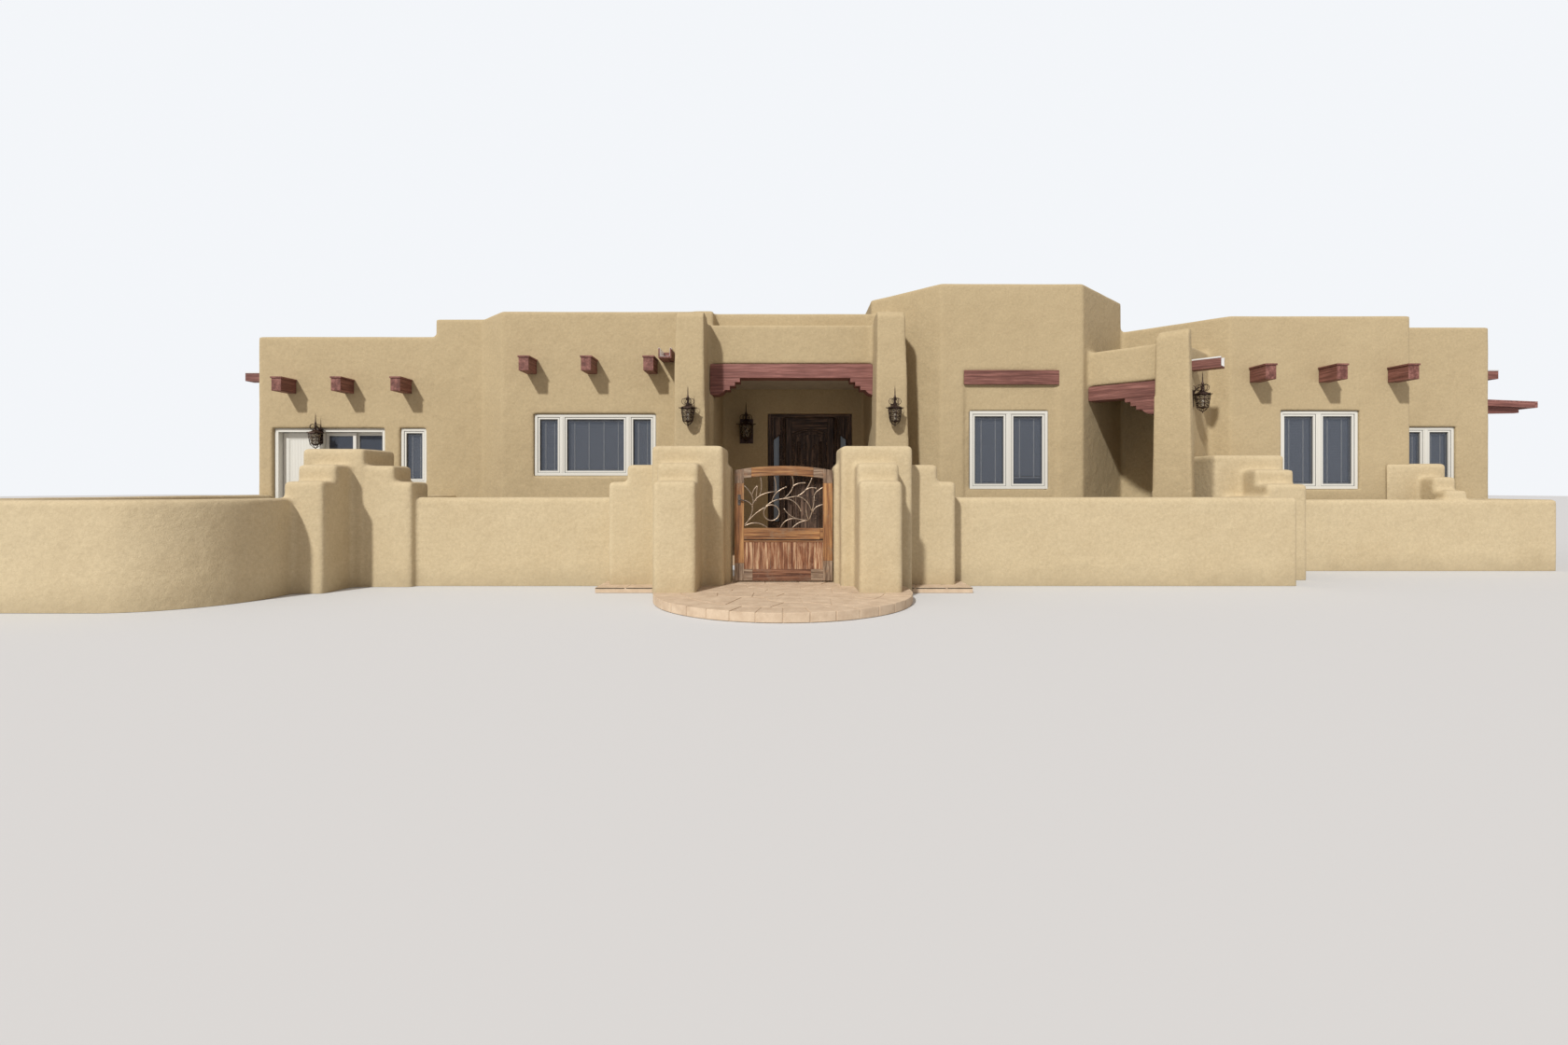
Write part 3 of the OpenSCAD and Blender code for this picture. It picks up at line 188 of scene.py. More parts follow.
def plaster(name, color, shade):
    """Sand plaster: trowel marks, grit, faint patches and a darker splash line at the ground."""
    m, t, b = new_material(name, color, 0.93)
    obj = t.nodes.new("ShaderNodeTexCoord").outputs["Object"]
    z = add(t, "ShaderNodeSeparateXYZ")
    t.links.new(obj, z.inputs[0])
    patches = ramp(t, noise(t, obj, 0.9, 5.0, 0.6), [(0.3, shade), (0.7, color)])
    cloudy = noise(t, obj, 4.5, 4.0, 0.6)
    tone = mix(t, scale_range(t, cloudy, 0.35, 0.7, 0.0, 0.35), patches, tuple(c * 1.1 for c in color))
    height = multiply(t, noise(t, obj, 3.0, 3.0, 0.7), -0.35, z.outputs["Z"])
    splash = scale_range(t, height, -0.16, 0.12, 0.5, 0.0)
    soiled = mix(t, splash, tone, tuple(c * 0.62 for c in shade))
    grit = scale_range(t, noise(t, obj, 26.0, 5.0, 0.8), 0.35, 0.65)
    sand = mix(t, grit, tuple(c * 0.8 for c in shade), tuple(c * 1.12 for c in color))
    t.links.new(mix(t, splash, mix(t, 0.36, soiled, sand), soiled), b.inputs["Base Color"])
    trowel = bump(t, b, noise(t, obj, 4.2, 4.0, 0.55), 0.38, 0.045)
    float_marks = bump(t, b, noise(t, obj, 17.0, 4.0, 0.6), 0.34, 0.014, trowel)
    bump(t, b, noise(t, obj, 85.0, 3.0, 0.75), 0.55, 0.007, float_marks)
    return m


def wood(name, dark, mid, light, worn, coarse, rough=0.62):
    """Fine and broad grain along u, with worn patches of another tint where one is given."""
    m, t, b = new_material(name, mid, rough)
    b.inputs["Specular IOR Level"].default_value = 0.35
    uv = t.nodes.new("ShaderNodeTexCoord").outputs["UV"]
    layers = []
    for along, across in ((1.6, 30), (0.55, 8.5)):
        stretch = t.nodes.new("ShaderNodeMapping")
        stretch.inputs["Scale"].default_value = (along * coarse, across * coarse, 1)
        t.links.new(uv, stretch.inputs["Vector"])
        layers.append(noise(t, stretch.outputs["Vector"], 1.6, 7.0, 0.62))
    fine, broad = layers
    grain = scale_range(t, multiply(t, broad, 0.9, multiply(t, fine, 0.55)), 0.5, 0.95)
    color = ramp(t, grain, [(0.22, dark), (0.78, light), (0.5, mid)])
    slow = noise(t, uv, 2.3, 3.0, 0.5)
    color = mix(t, scale_range(t, slow, 0.35, 0.7, 0.0, 0.45), color, dark)
    if worn:
        patches = noise(t, uv, 5.0, 6.0, 0.75)
        color = mix(t, scale_range(t, patches, 0.52, 0.66, 0.0, 0.75), color, worn)
    t.links.new(color, b.inputs["Base Color"])
    bump(t, b, grain, 0.5, 0.006)
    return m


HOUSE_PLASTER = plaster("plaster_house", (0.468, 0.372, 0.222), (0.408, 0.317, 0.184))
COURT_PLASTER = plaster("plaster_court", (0.552, 0.455, 0.292), (0.477, 0.378, 0.228))
TIMBER, VIGA_WOOD, GATE_WOOD, GATE_RED, GATE_GREY, GATE_STREAK, DOOR_WOOD = [wood(*look) for look in (
    ("timber_stained", (0.145, 0.055, 0.045), (0.24, 0.096, 0.079), (0.36, 0.165, 0.14), None, 1.4),
    ("timber_vigas", (0.11, 0.042, 0.033), (0.19, 0.075, 0.059), (0.3, 0.135, 0.11), None, 1.4),
    ("gate_wood", (0.1, 0.042, 0.019), (0.285, 0.128, 0.05), (0.47, 0.258, 0.105),
     (0.22, 0.145, 0.09), 1.3),
    ("gate_wood_red", (0.07, 0.027, 0.015), (0.175, 0.072, 0.038), (0.31, 0.155, 0.09),
     (0.2, 0.13, 0.09), 1.5),
    ("gate_wood_bleached", (0.1, 0.062, 0.04), (0.25, 0.17, 0.115), (0.44, 0.34, 0.25),
     (0.28, 0.15, 0.08), 2.2),
    ("gate_wood_streaked", (0.11, 0.04, 0.02), (0.255, 0.105, 0.05), (0.58, 0.4, 0.25),
     (0.35, 0.2, 0.12), 1.8),
    ("door_wood", (0.02, 0.011, 0.008), (0.075, 0.045, 0.031), (0.24, 0.155, 0.11), None, 1.6, 0.5))]
print("plaster and timber finishes are ready")

# %%
def speckled(name, color, dark, scale, rough, height=0.004):
    m, t, b = new_material(name, color, rough)
    obj = t.nodes.new("ShaderNodeTexCoord").outputs["Object"]
    tone = ramp(t, noise(t, obj, scale, 6.0, 0.7), [(0.32, dark), (0.68, color)])
    t.links.new(tone, b.inputs["Base Color"])
    bump(t, b, noise(t, obj, scale * 6, 4.0, 0.6), 0.4, height)
    return m


def iron(name, color, rough):
    m, t, b = new_material(name, color, rough, 0.75)
    obj = t.nodes.new("ShaderNodeTexCoord").outputs["Object"]
    rust = tuple(c * 2.4 for c in color)
    tone = ramp(t, noise(t, obj, 30, 5.0, 0.7), [(0.42, color), (0.75, rust)])
    t.links.new(tone, b.inputs["Base Color"])
    bump(t, b, noise(t, obj, 120, 2.0, 0.5), 0.3, 0.001)
    return m


def clear(name, color, rough, alpha, ior=1.5):
    m, _, b = new_material(name, color, rough)
    b.inputs["Alpha"].default_value = alpha
    b.inputs["IOR"].default_value = ior
    m.surface_render_method = "BLENDED"
    return m


IRON = iron("iron_bronze", (0.045, 0.026, 0.02), 0.42)
GATE_IRON = iron("iron_gate", (0.09, 0.075, 0.065), 0.35)
VINE_IRON = iron("iron_vines", (0.3, 0.23, 0.17), 0.38)
WHITE, SEAL, BLIND, TAPE, TIN, BULB = [new_material(*look)[0] for look in (
    ("frame_white", (0.66, 0.65, 0.6), 0.38), ("glazing_seal", (0.03, 0.03, 0.032), 0.6),
    ("blind_slats", (0.3, 0.32, 0.36), 0.6), ("blind_tapes", (0.85, 0.85, 0.82), 0.7),
    ("galvanised_tin", (0.78, 0.78, 0.77), 0.42, 0.35), ("lamp_bulb", (0.85, 0.82, 0.74), 0.25))]
ROOFING = speckled("roof_coating", (0.5, 0.45, 0.37), (0.38, 0.34, 0.28), 6.0, 0.9)
FLOOR_STONE = speckled("floor_stone", (0.5, 0.36, 0.23), (0.36, 0.25, 0.16), 5.0, 0.8)
STEP_STONE = speckled("step_stone", (0.62, 0.49, 0.355), (0.47, 0.35, 0.24), 7.0, 0.85, 0.006)
GLASS = clear("pane_glass", (0.09, 0.105, 0.135), 0.03, 0.42, 1.75)
# Painted reflection: the sidelight glass is coloured a light sky blue that stands for the sky it reflects.
SIDELIGHT_PAINTED_SKY = clear("sidelight_painted_sky_reflection", (0.34, 0.42, 0.52), 0.12, 0.9)
LAMP_GLASS = clear("lamp_glass", (0.42, 0.34, 0.22), 0.12, 0.45)
print("metal, stone and glass finishes are ready")

# %% [markdown]
# ## Builder functions
# Each function adds geometry to a bmesh in local coordinates, moved by m, which is the plan where none
# is given. Every solid gets a UV with u along its grain axis, and an offset of its own so that no two
# boards share a pattern.

# %%
def uv_faces(bm, faces, grain, inverse):
    layer = bm.loops.layers.uv.verify()
    shift = Vector((random.uniform(0, 50), random.uniform(0, 50)))
    a, b = [i for i in range(3) if i != grain]
    turned_in = inverse.to_3x3().normalized()
    for f in faces:
        f.normal_update()
        is_end = abs((turned_in @ f.normal)[grain]) > 0.8
        for loop in f.loops:
            p = inverse @ loop.vert.co
            along, across = (9 * p[a], 0.5 * p[b]) if is_end else (p[grain], p[a] + 1.37 * p[b])
            loop[layer].uv = (along + shift.x, across + shift.y)


def box(bm, x, y, z, m=PLAN, grain=0, bevel=0.0, mat=0):
    """Box from an x range, a y range and a z range."""
    verts = [bm.verts.new(m @ Vector((i, j, k))) for i in x for j in y for k in z]
    quads = ((0, 1, 3, 2), (4, 6, 7, 5), (0, 4, 5, 1), (2, 3, 7, 6), (0, 2, 6, 4), (1, 5, 7, 3))
    faces = [bm.faces.new([verts[i] for i in q]) for q in quads]
    finish_solid(bm, faces, m, grain, bevel, mat)


def prism(bm, outline, y, m=PLAN, grain=0, bevel=0.0, mat=0):
    """Outline in x and z, anticlockwise seen from -y, extruded between two y values."""
    front = [bm.verts.new(m @ Vector((px, y[0], pz))) for px, pz in outline]
    back = [bm.verts.new(m @ Vector((px, y[1], pz))) for px, pz in outline]
    faces = [bm.faces.new(front), bm.faces.new(back[::-1])]
    for i in range(len(outline)):
        j = (i + 1) % len(outline)
        faces.append(bm.faces.new((front[i], back[i], back[j], front[j])))
    finish_solid(bm, faces, m, grain, bevel, mat)


def finish_solid(bm, faces, m, grain, bevel, mat):
    """Ease the sharp edges, then give every face of the solid its material and its UV."""
    bmesh.ops.recalc_face_normals(bm, faces=faces)
    if bevel:
        edges = list(dict.fromkeys(e for f in faces for e in f.edges if e.calc_face_angle(0) > 0.6))
        eased = bmesh.ops.bevel(bm, geom=edges, offset=bevel, segments=2, profile=0.6,
                                affect="EDGES", clamp_overlap=True)
        faces = island(eased["faces"])
    for f in faces:
        f.material_index = mat
    uv_faces(bm, faces, grain, m.inverted())


def island(faces):
    """Every face that these faces reach through shared vertices."""
    seen, todo = set(faces), list(faces)
    while todo:
        found = {f for v in todo.pop().verts for f in v.link_faces} - seen
        seen |= found
        todo += found
    return seen


def turned(bm, profile, m=PLAN, steps=16, mat=0, flat=False):
    """Revolve (radius, z) pairs about local z. Ends that reach radius 0 close in a point."""
    rings = []
    for r, z in profile:
        angles = [2 * pi * i / steps for i in range(steps if r > 1e-6 else 1)]
        rings.append([bm.verts.new(m @ Vector((r * cos(a), r * sin(a), z))) for a in angles])
    faces = []
    for p, q in zip(rings, rings[1:]):
        for i in range(steps):
            j = (i + 1) % steps
            quad = list(dict.fromkeys((p[i % len(p)], p[j % len(p)], q[j % len(q)], q[i % len(q)])))
            if len(quad) > 2:
                faces.append(bm.faces.new(quad))
    for end in (rings[0], rings[-1]):
        if len(end) > 1:
            faces.append(bm.faces.new(end))
    for f in faces:
        f.smooth = not flat
    finish_solid(bm, faces, m, 2, 0, mat)


def tube(bm, points, radius, m=PLAN, sides=8, mat=0, taper=None):
    """Round bar along points. taper gives the radius share at each end."""
    n = len(points)
    pts = [Vector(p) for p in points]
    rings = []
    up = Vector((0, 1, 0))
    for i, p in enumerate(pts):
        d = (pts[min(i + 1, n - 1)] - pts[max(i - 1, 0)]).normalized()
        side = d.cross(up) if abs(d.dot(up)) < 0.95 else d.cross(Vector((1, 0, 0)))
        side.normalize()
        other = d.cross(side)
        r = radius
        if taper:
            r *= taper[0] + (taper[1] - taper[0]) * i / (n - 1)
        rings.append([bm.verts.new(m @ (p + r * (cos(a) * side + sin(a) * other)))
                      for a in (2 * pi * k / sides for k in range(sides))])
    faces = []
    for p, q in zip(rings, rings[1:]):
        for i in range(sides):
            j = (i + 1) % sides
            faces.append(bm.faces.new((p[i], p[j], q[j], q[i])))
    faces += [bm.faces.new(rings[0]), bm.faces.new(rings[-1][::-1])]
    for f in faces:
        f.smooth = len(f.verts) == 4
    finish_solid(bm, faces, m, 0, 0, mat)


def ball(bm, r, m, mat=0, segments=12):
    profile = [(r * sin(pi * i / 8), -r * cos(pi * i / 8)) for i in range(9)]
    turned(bm, profile, m, segments, mat)


def stand(name, data):
    """Put an object with this data in the scene."""
    ob = bpy.data.objects.new(name, data)
    bpy.context.scene.collection.objects.link(ob)
    return ob


def make(name, bm, materials, stands_for=(), body="house"):
    """A piece that rides a body and may stand for CAD nodes."""
    me = bpy.data.meshes.new(name)
    bm.to_mesh(me)
    bm.free()
    ob = stand(name, me)
    for m in materials:
        me.materials.append(m)
    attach(ob, body)
    if stands_for:
        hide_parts(*stands_for)
    print(f"{name}: {len(me.polygons)} faces")


def paint(names, m):
    for n in names:
        me = nodes[n].data
        me.materials.clear()
        me.materials.append(m)


def around(r, angle, z):
    """Point on a circle about local z, at an angle in degrees."""
    a = radians(angle)
    return Vector((r * cos(a), r * sin(a), z))


def curve(a, mid, b, n=8):
    """Points on a quadratic curve that passes through mid."""
    a, mid, b = Vector(a), Vector(mid), Vector(b)
    c = 2 * mid - (a + b) / 2
    return [(1 - s) ** 2 * a + 2 * s * (1 - s) * c + s * s * b for s in (i / n for i in range(n + 1))]


print("builder functions are ready")

# %% [markdown]
# ## Plaster skins
# Adobe walls are coated as one skin, so the plastered nodes are joined, remeshed and relaxed into soft
# corners. The frames' corners are squared up again, and the skin gets a slight hand-worked wave, is
# thinned out, and is cut flat at the ground.

# %%
WAVE, BELOW_GROUND = 0.0045, -0.3
EDGE_MARGIN, OUTSIDE, REVEAL = 0.1, -0.05, 0.5


def hand_wave(p):
    """A smooth value from -1 to 1 at each point, from crossed waves."""
    rng = np.random.default_rng(3)
    total = np.zeros(len(p))
    for wavelength in (2.3, 1.7, 1.1, 0.8, 0.55, 0.42):
        direction = rng.normal(size=3)
        direction *= 2 * pi / wavelength / np.linalg.norm(direction)
        total += np.sin(p @ direction + rng.uniform(0, 6.3))
    return total / 6


def read(values, key):
    """A mesh collection's vectors as rows."""
    rows = np.empty(len(values) * 3)
    values.foreach_get(key, rows)
    return rows.reshape(-1, 3)


def square_up(place, crisp):
    """Put the edges and reveals of openings back where they were before relaxing, corners square."""
    for x, y, z, turn, w, h in [row[:6] for row in WINDOWS] + DOORWAYS:
        spot = np.array(at(x, y, z, turn))
        q = (crisp - spot[:3, 3]) @ spot[:3, :3]
        inside = [size / 2 - abs(q[:, axis] - size / 2) for axis, size in ((0, w), (2, h))]
        near = (inside[0] > -EDGE_MARGIN) & (inside[1] > -EDGE_MARGIN)
        near &= (q[:, 1] > OUTSIDE) & (q[:, 1] < REVEAL)
        in_corner = near & (inside[0] > 0.001) & (inside[1] > 0.001)
        for axis, size in ((0, w), (2, h)):
            q[in_corner, axis] = np.where(q[in_corner, axis] > size / 2, size, 0)
        place[near] = (q @ spot[:3, :3].T + spot[:3, 3])[near]


def modified(ob, kind, **settings):
    """Give the object the mesh that a modifier makes of it."""
    mod = ob.modifiers.new(kind, kind)
    for key, v in settings.items():
        setattr(mod, key, v)
    me = bpy.data.meshes.new_from_object(ob.evaluated_get(bpy.context.evaluated_depsgraph_get()))
    ob.modifiers.clear()
    ob.data = me
    return me


def plaster_skin(name, names, voxel, keep, m):
    """One skin over the nodes. keep is the share of its triangles that stays."""
    bm = bmesh.new()
    for n in names:
        me = nodes[n].data.copy()
        me.transform(nodes[n].matrix_world)
        bm.from_mesh(me)
        bpy.data.meshes.remove(me)
    for v in bm.verts:
        if v.co.z < 0.001:
            v.co.z = BELOW_GROUND
    me = bpy.data.meshes.new(name)
    bm.to_mesh(me)
    bm.free()
    work = stand(name + "_work", me)
    crisp = modified(work, "REMESH", mode="VOXEL", voxel_size=voxel)
    fine = modified(work, "SMOOTH", factor=0.5, iterations=8)
    place = read(fine.vertices, "co")
    square_up(place, read(crisp.vertices, "co"))
    place -= read(fine.vertex_normals, "vector") * (WAVE + WAVE * hand_wave(place))[:, None]
    fine.vertices.foreach_set("co", place.ravel())
    coarse = modified(work, "DECIMATE", ratio=keep)
    bpy.data.objects.remove(work)
    bm = bmesh.new()
    bm.from_mesh(coarse)
    out = bmesh.ops.bisect_plane(bm, geom=bm.verts[:] + bm.edges[:] + bm.faces[:], plane_co=(0, 0, 0),
                                 plane_no=(0, 0, 1), clear_inner=True)
    rim = [e for e in out["geom_cut"] if isinstance(e, bmesh.types.BMEdge)]
    bmesh.ops.holes_fill(bm, edges=rim)
    bmesh.ops.triangulate(bm, faces=[f for f in bm.faces if len(f.verts) > 4])
    for f in bm.faces:
        f.smooth = True
    make(name, bm, [m], names)


HOUSE_NODES = ["garden_wall_jambs", "garden_wall_head", "garden_side_wall", "lounge_wall", "portal_jambs",
               "portal_wall", "portal_parapet", "entry_wall_jambs", "entry_wall_head", "tower_wall",
               "tower_raised_walls", "bedroom_wall", "end_room_wall", "end_side_wall", "rear_wall",
               "inner_parapet", "portal_buttresses", "porch_buttress", "porch_walls"]
COURT_NODES = ["court_walls", "garden_court_wall", "end_court_wall", "left_pier", "gate_pier_left",
               "gate_pier_right", "court_pier", "end_pier"]
plaster_skin("house_skin", HOUSE_NODES, 0.028, 0.12, HOUSE_PLASTER)
plaster_skin("court_skin", COURT_NODES, 0.022, 0.2, COURT_PLASTER)
paint(["roof_deck", "tower_roof", "portal_roof", "porch_roof"], ROOFING)
paint(["floor_slab", "portal_floor"], FLOOR_STONE)
paint(["entry_step"], STEP_STONE)

# %% [markdown]
# ## Windows
# Each window has an outer frame, grooved posts, a sash round every light, thin panes in dark seals, and
# horizontal blinds behind them with their ladder tapes.

# %%
FRAME, SIDE, POST, SASH_LAP = 0.046, 0.075, 0.142, 0.029
SLAT_STEP, SLAT_TILT = 0.0238, 62
TAPES, WIDE_TAPES = (0.27, 0.75), (0.12, 0.37, 0.63, 0.88)


def ring(bm, x, y, z, width, m=PLAN, bevel=0.003, mat=0):
    """Four members round a rectangle in x and z."""
    for a in (x[0], x[1] - width):
        box(bm, (a, a + width), y, z, m, 2, bevel, mat)
    for a in (z[0], z[1] - width):
        box(bm, (x[0] + width, x[1] - width), y, (a, a + width), m, 0, bevel, mat)


def lights(w, shares):
    """The x range of every light in a window of width w."""
    free = w - 2 * SIDE - POST * (len(shares) - 1)
    x, spans = SIDE, []
    for share in shares:
        spans.append((x, x + free * share))
        x += free * share + POST
    return spans


def window(frames, glass, blinds, w, h, shares, m, gap):
    """A window in an opening. gap lifts the blind of its last light."""
    ring(frames, (0, w), (0.04, 0.13), (0, h), FRAME, m, 0.004)
    spans, tall = lights(w, shares), (FRAME, h - FRAME)
    for (_, b), (a, _) in zip(spans, spans[1:]):
        box(frames, (b + SASH_LAP, a - SASH_LAP), (0.044, 0.125), tall, m, 2, 0.003)
        mid = (a + b) / 2
        box(frames, (mid - 0.014, mid + 0.014), (0.037, 0.05), tall, m, 2, 0.003)
    for i, (a, b) in enumerate(spans):
        wide = (a - SASH_LAP, b + SASH_LAP)
        ring(frames, wide, (0.052, 0.115), tall, 0.035, m)
        ring(frames, wide, (0.0505, 0.056), tall, 0.006, m, 0, 1)
        ring(frames, (a + 0.006, b - 0.006), (0.077, 0.0845), (0.081, h - 0.081), 0.005, m, 0, 1)
        box(glass, (a, b), (0.085, 0.091), (SIDE, h - SIDE), m)
        top, foot = h - 0.078, 0.085 + (gap if i == len(spans) - 1 else 0)
        box(blinds, (a + 0.008, b - 0.008), (0.118, 0.155), (top - 0.042, top), m, 0, 0.003)
        box(blinds, (a + 0.01, b - 0.01), (0.126, 0.15), (foot, foot + 0.016), m, 0, 0.002)
        z = top - 0.055
        while z > foot + 0.03:
            slat = m @ move(0, 0.138, z) @ spin(SLAT_TILT, "X")
            box(blinds, (a + 0.012, b - 0.012), (-0.0125, 0.0125), (-0.0006, 0.0006), slat, 0, 0, 1)
            z -= SLAT_STEP
        for share in WIDE_TAPES if b - a > 0.7 else TAPES:
            x = a + share * (b - a)
            box(blinds, (x - 0.008, x + 0.008), (0.1235, 0.1255), (foot, top), m, 2, 0, 2)


frames, glass, blinds = bmesh.new(), bmesh.new(), bmesh.new()
for i, (x, y, z, turn, w, h, shares) in enumerate(WINDOWS):
    window(frames, glass, blinds, w, h, shares, at(x, y, z, turn), 0.09 if i == 1 else 0)
make("window_joinery", frames, [WHITE, SEAL], ["window_frames"])
make("window_panes", glass, [GLASS], ["window_glass"])
make("window_blinds", blinds, [WHITE, BLIND, TAPE])

# %% [markdown]
# ## Beams, roof beams, spouts and canopy
# Stained timber with eased edges. The corbels are separate blocks under the beams, each roof beam has
# a cap board, the spouts have a folded metal liner, and the canopy is boarded over joists.

# %%
BEAM_THICK, BEAM_DEEP = 0.3, 0.227


def corbel_outline():
    """A flat foot, a rounded throat and three steps up to the beam."""
    drop, length, bend = 0.272, 0.485, radians(58)
    r, flat = drop * 0.62, length * 0.2
    tread = (length - flat - r * sin(bend)) / 3
    riser = (drop - r * (1 - cos(bend))) / 3
    points = [(0, 0), (0, -drop), (flat, -drop)]
    points += [(flat + r * sin(a), -drop + r * (1 - cos(a))) for a in map(radians, range(6, 59, 4))]
    points += [(length - (3 - i - j) * tread, -(3 - i) * riser) for i in range(3) for j in (0, 1)]
    return points + [(length, 0)]


def beam(name, m, length, ends, node, wood_mat):
    """A beam from the origin of m along its x, with a corbel at each of the named ends."""
    bm = bmesh.new()
    box(bm, (0, length), (0, BEAM_THICK), (0, BEAM_DEEP), m, 0, 0.009)
    for end in ends:
        place = m @ move(end, 0, -0.0015)
        if end:
            place = place @ Matrix.Scale(-1, 4, (1, 0, 0))
        prism(bm, corbel_outline(), (0.006, BEAM_THICK - 0.006), place, 0, 0.004)
    make(name, bm, [wood_mat], [node])


PORCH = at(4.883, 4.184, 0, -45)
beam("portal_beam_timber", at(-1.2, PORTAL_FACE, 3.035), 2.76, (0, 2.76), "portal_beam", TIMBER)
beam("porch_beam_timber", PORCH @ move(0.0003, 0, 2.642), 1.0397, (1.0397,), "porch_beam", VIGA_WOOD)
bm = bmesh.new()
box(bm, (2.855, 4.36), (TOWER_FACE - 0.012, TOWER_FACE + 0.035), (2.892, 3.119), PLAN, 0, 0.006)
make("tower_beam_timber", bm, [VIGA_WOOD], ["tower_beam"])

# %%
def viga(bm, m):
    box(bm, (-0.0825, 0.0825), (-0.37, 0), (-0.24, -0.0285), m, 1, 0.008)
    box(bm, (-0.0945, 0.0945), (-0.382, 0), (-0.028, 0), m, 1, 0.004)


def mirrored(side, a, b):
    """The range from a to b on the side +1 or -1."""
    return sorted((side * a, side * b))


def spout(wood_bm, tin_bm, m):
    """A channel of three boards with a stop behind, and a liner folded over its side boards."""
    whole, lined, lipped = (-0.4, 0), (-0.402, -0.026), (-0.402, 0)
    for side in (-1, 1):
        box(wood_bm, mirrored(side, 0.079, 0.105), whole, (-0.16, -0.002), m, 1, 0.004)
        box(tin_bm, mirrored(side, 0.0825, 0.1085), lipped, (-0.002, 0.001), m, 1)
        box(tin_bm, mirrored(side, 0.0765, 0.079), lined, (-0.131, -0.002), m, 1)
        box(tin_bm, mirrored(side, 0.1055, 0.1085), lipped, (-0.02, -0.002), m, 1)
    box(wood_bm, (-0.079, 0.079), whole, (-0.16, -0.134), m, 1, 0.004)
    box(wood_bm, (-0.079, 0.079), (-0.026, 0), (-0.134, -0.002), m, 0, 0.002)
    box(tin_bm, (-0.0765, 0.0765), lined, (-0.134, -0.1315), m, 1)


bm = bmesh.new()
for i in range(3):
    viga(bm, at(-8.528 + i, GARDEN_FACE, 3.125))
    viga(bm, at(-4.175 + i, LOUNGE_FACE, 3.375))
    viga(bm, at(7.465 + 1.095 * i, TOWER_FACE, 3.16))
for x in (-8.4, -7.4, -4.4, -3.4, -0.4, 3.6, 4.6):
    viga(bm, at(x, HOUSE_BACK, 3.125, 180))
make("vigas_timber", bm, [VIGA_WOOD], ["vigas"])


def porch_end(z):
    """A height on the outer wall of the porch."""
    return PORCH @ move(1.34, 0.586, z) @ spin(90, "Z")


wood_bm, tin_bm = bmesh.new(), bmesh.new()
for place in (at(-1.905, LOUNGE_FACE, 3.49), at(HOUSE_LEFT, GARDEN_FACE + WALL, 3.3, -90),
              at(HOUSE_RIGHT, END_FACE + WALL, 3.3, 90), porch_end(3.199)):
    spout(wood_bm, tin_bm, place)
make("spout_boxes", wood_bm, [VIGA_WOOD], ["roof_spouts"])
make("spout_liners", tin_bm, [TIN])

bm = bmesh.new()
slope = at(HOUSE_RIGHT, 5.197, 2.815) @ spin(2.35, "Y")
long, joist_z = (0, 1.6), (-0.11, -0.0285)
for i in range(8):
    box(bm, (0.1524 * i, 0.1524 * i + 0.149), long, (-0.028, 0), slope, 1, 0.003)
for y in (0, 0.38, 0.76, 1.14, 1.52):
    box(bm, (0, 1.17), (y, y + 0.08), joist_z, slope, 0, 0.004)
box(bm, (1.172, 1.219), long, joist_z, slope, 1, 0.004)
bracket = [(0, 0), (0.976, -0.04), (0.976, -0.13), (0.18, -0.144), (0.09, -0.54), (0, -0.54)]
for y in (0.09, 1.42):
    prism(bm, bracket, (y, y + 0.09), at(HOUSE_RIGHT, 5.197, 2.705), 0, 0.005)
make("canopy_boards", bm, [TIMBER], ["side_canopy"])

# %% [markdown]
# ## Entry unit
# A carved dark frame with two narrow sidelights whose heads slant up towards the door, and a leaf with
# an arched panel, carved scrolls and a rosette. The leaf rides its own body.

# %%
def slanted(x, low_z, outer_top, inner_top, inner_right):
    """Outline of a sidelight."""
    tops = (outer_top, inner_top) if inner_right else (inner_top, outer_top)
    return [(x[0], low_z), (x[1], low_z), (x[1], tops[1]), (x[0], tops[0])]


BARREL, PLATE_Y, PLATE_Z = [(0.008, 0), (0.008, 0.11)], (-0.0083, -0.0043), (0, 0.11)


def plates(bm, pin, heights, side, mat, barrels):
    """Hinge plates at one side of a pin, with the barrels or clear of them."""
    for z in heights:
        place = at(*pin, z)
        if barrels:
            turned(bm, BARREL, place, 16, mat)
        box(bm, mirrored(side, 0 if barrels else 0.0045, 0.034), PLATE_Y, PLATE_Z, place, 2, 0, mat)


ENTRY_PIN, ENTRY_HINGES = (0.951, 6.3483), (0.4, 1.35, 2.3)
ENTRY_Y, CHEEK_Y, STANDING = (6.2, 6.34), (6.206, 6.334), (0.2, 2.59)
SIDES = ((1, (-0.25, -0.035), (-0.195, -0.09)), (-1, (1.015, 1.23), (1.07, 1.175)))
bm = bmesh.new()
for x in ((-0.3, -0.25), (1.23, 1.28)):
    box(bm, x, ENTRY_Y, (0.2, 2.65), PLAN, 2, 0.004)
box(bm, (-0.25, 1.23), ENTRY_Y, (2.59, 2.65), PLAN, 0, 0.004)
for x in ((-0.035, 0.025), (0.955, 1.015)):
    box(bm, x, ENTRY_Y, STANDING, PLAN, 2, 0.003)
    for share in (0.22, 0.5, 0.78):
        c = x[0] + share * (x[1] - x[0])
        tube(bm, [(c, 6.199, 0.215), (c, 6.199, 2.575)], 0.0065)
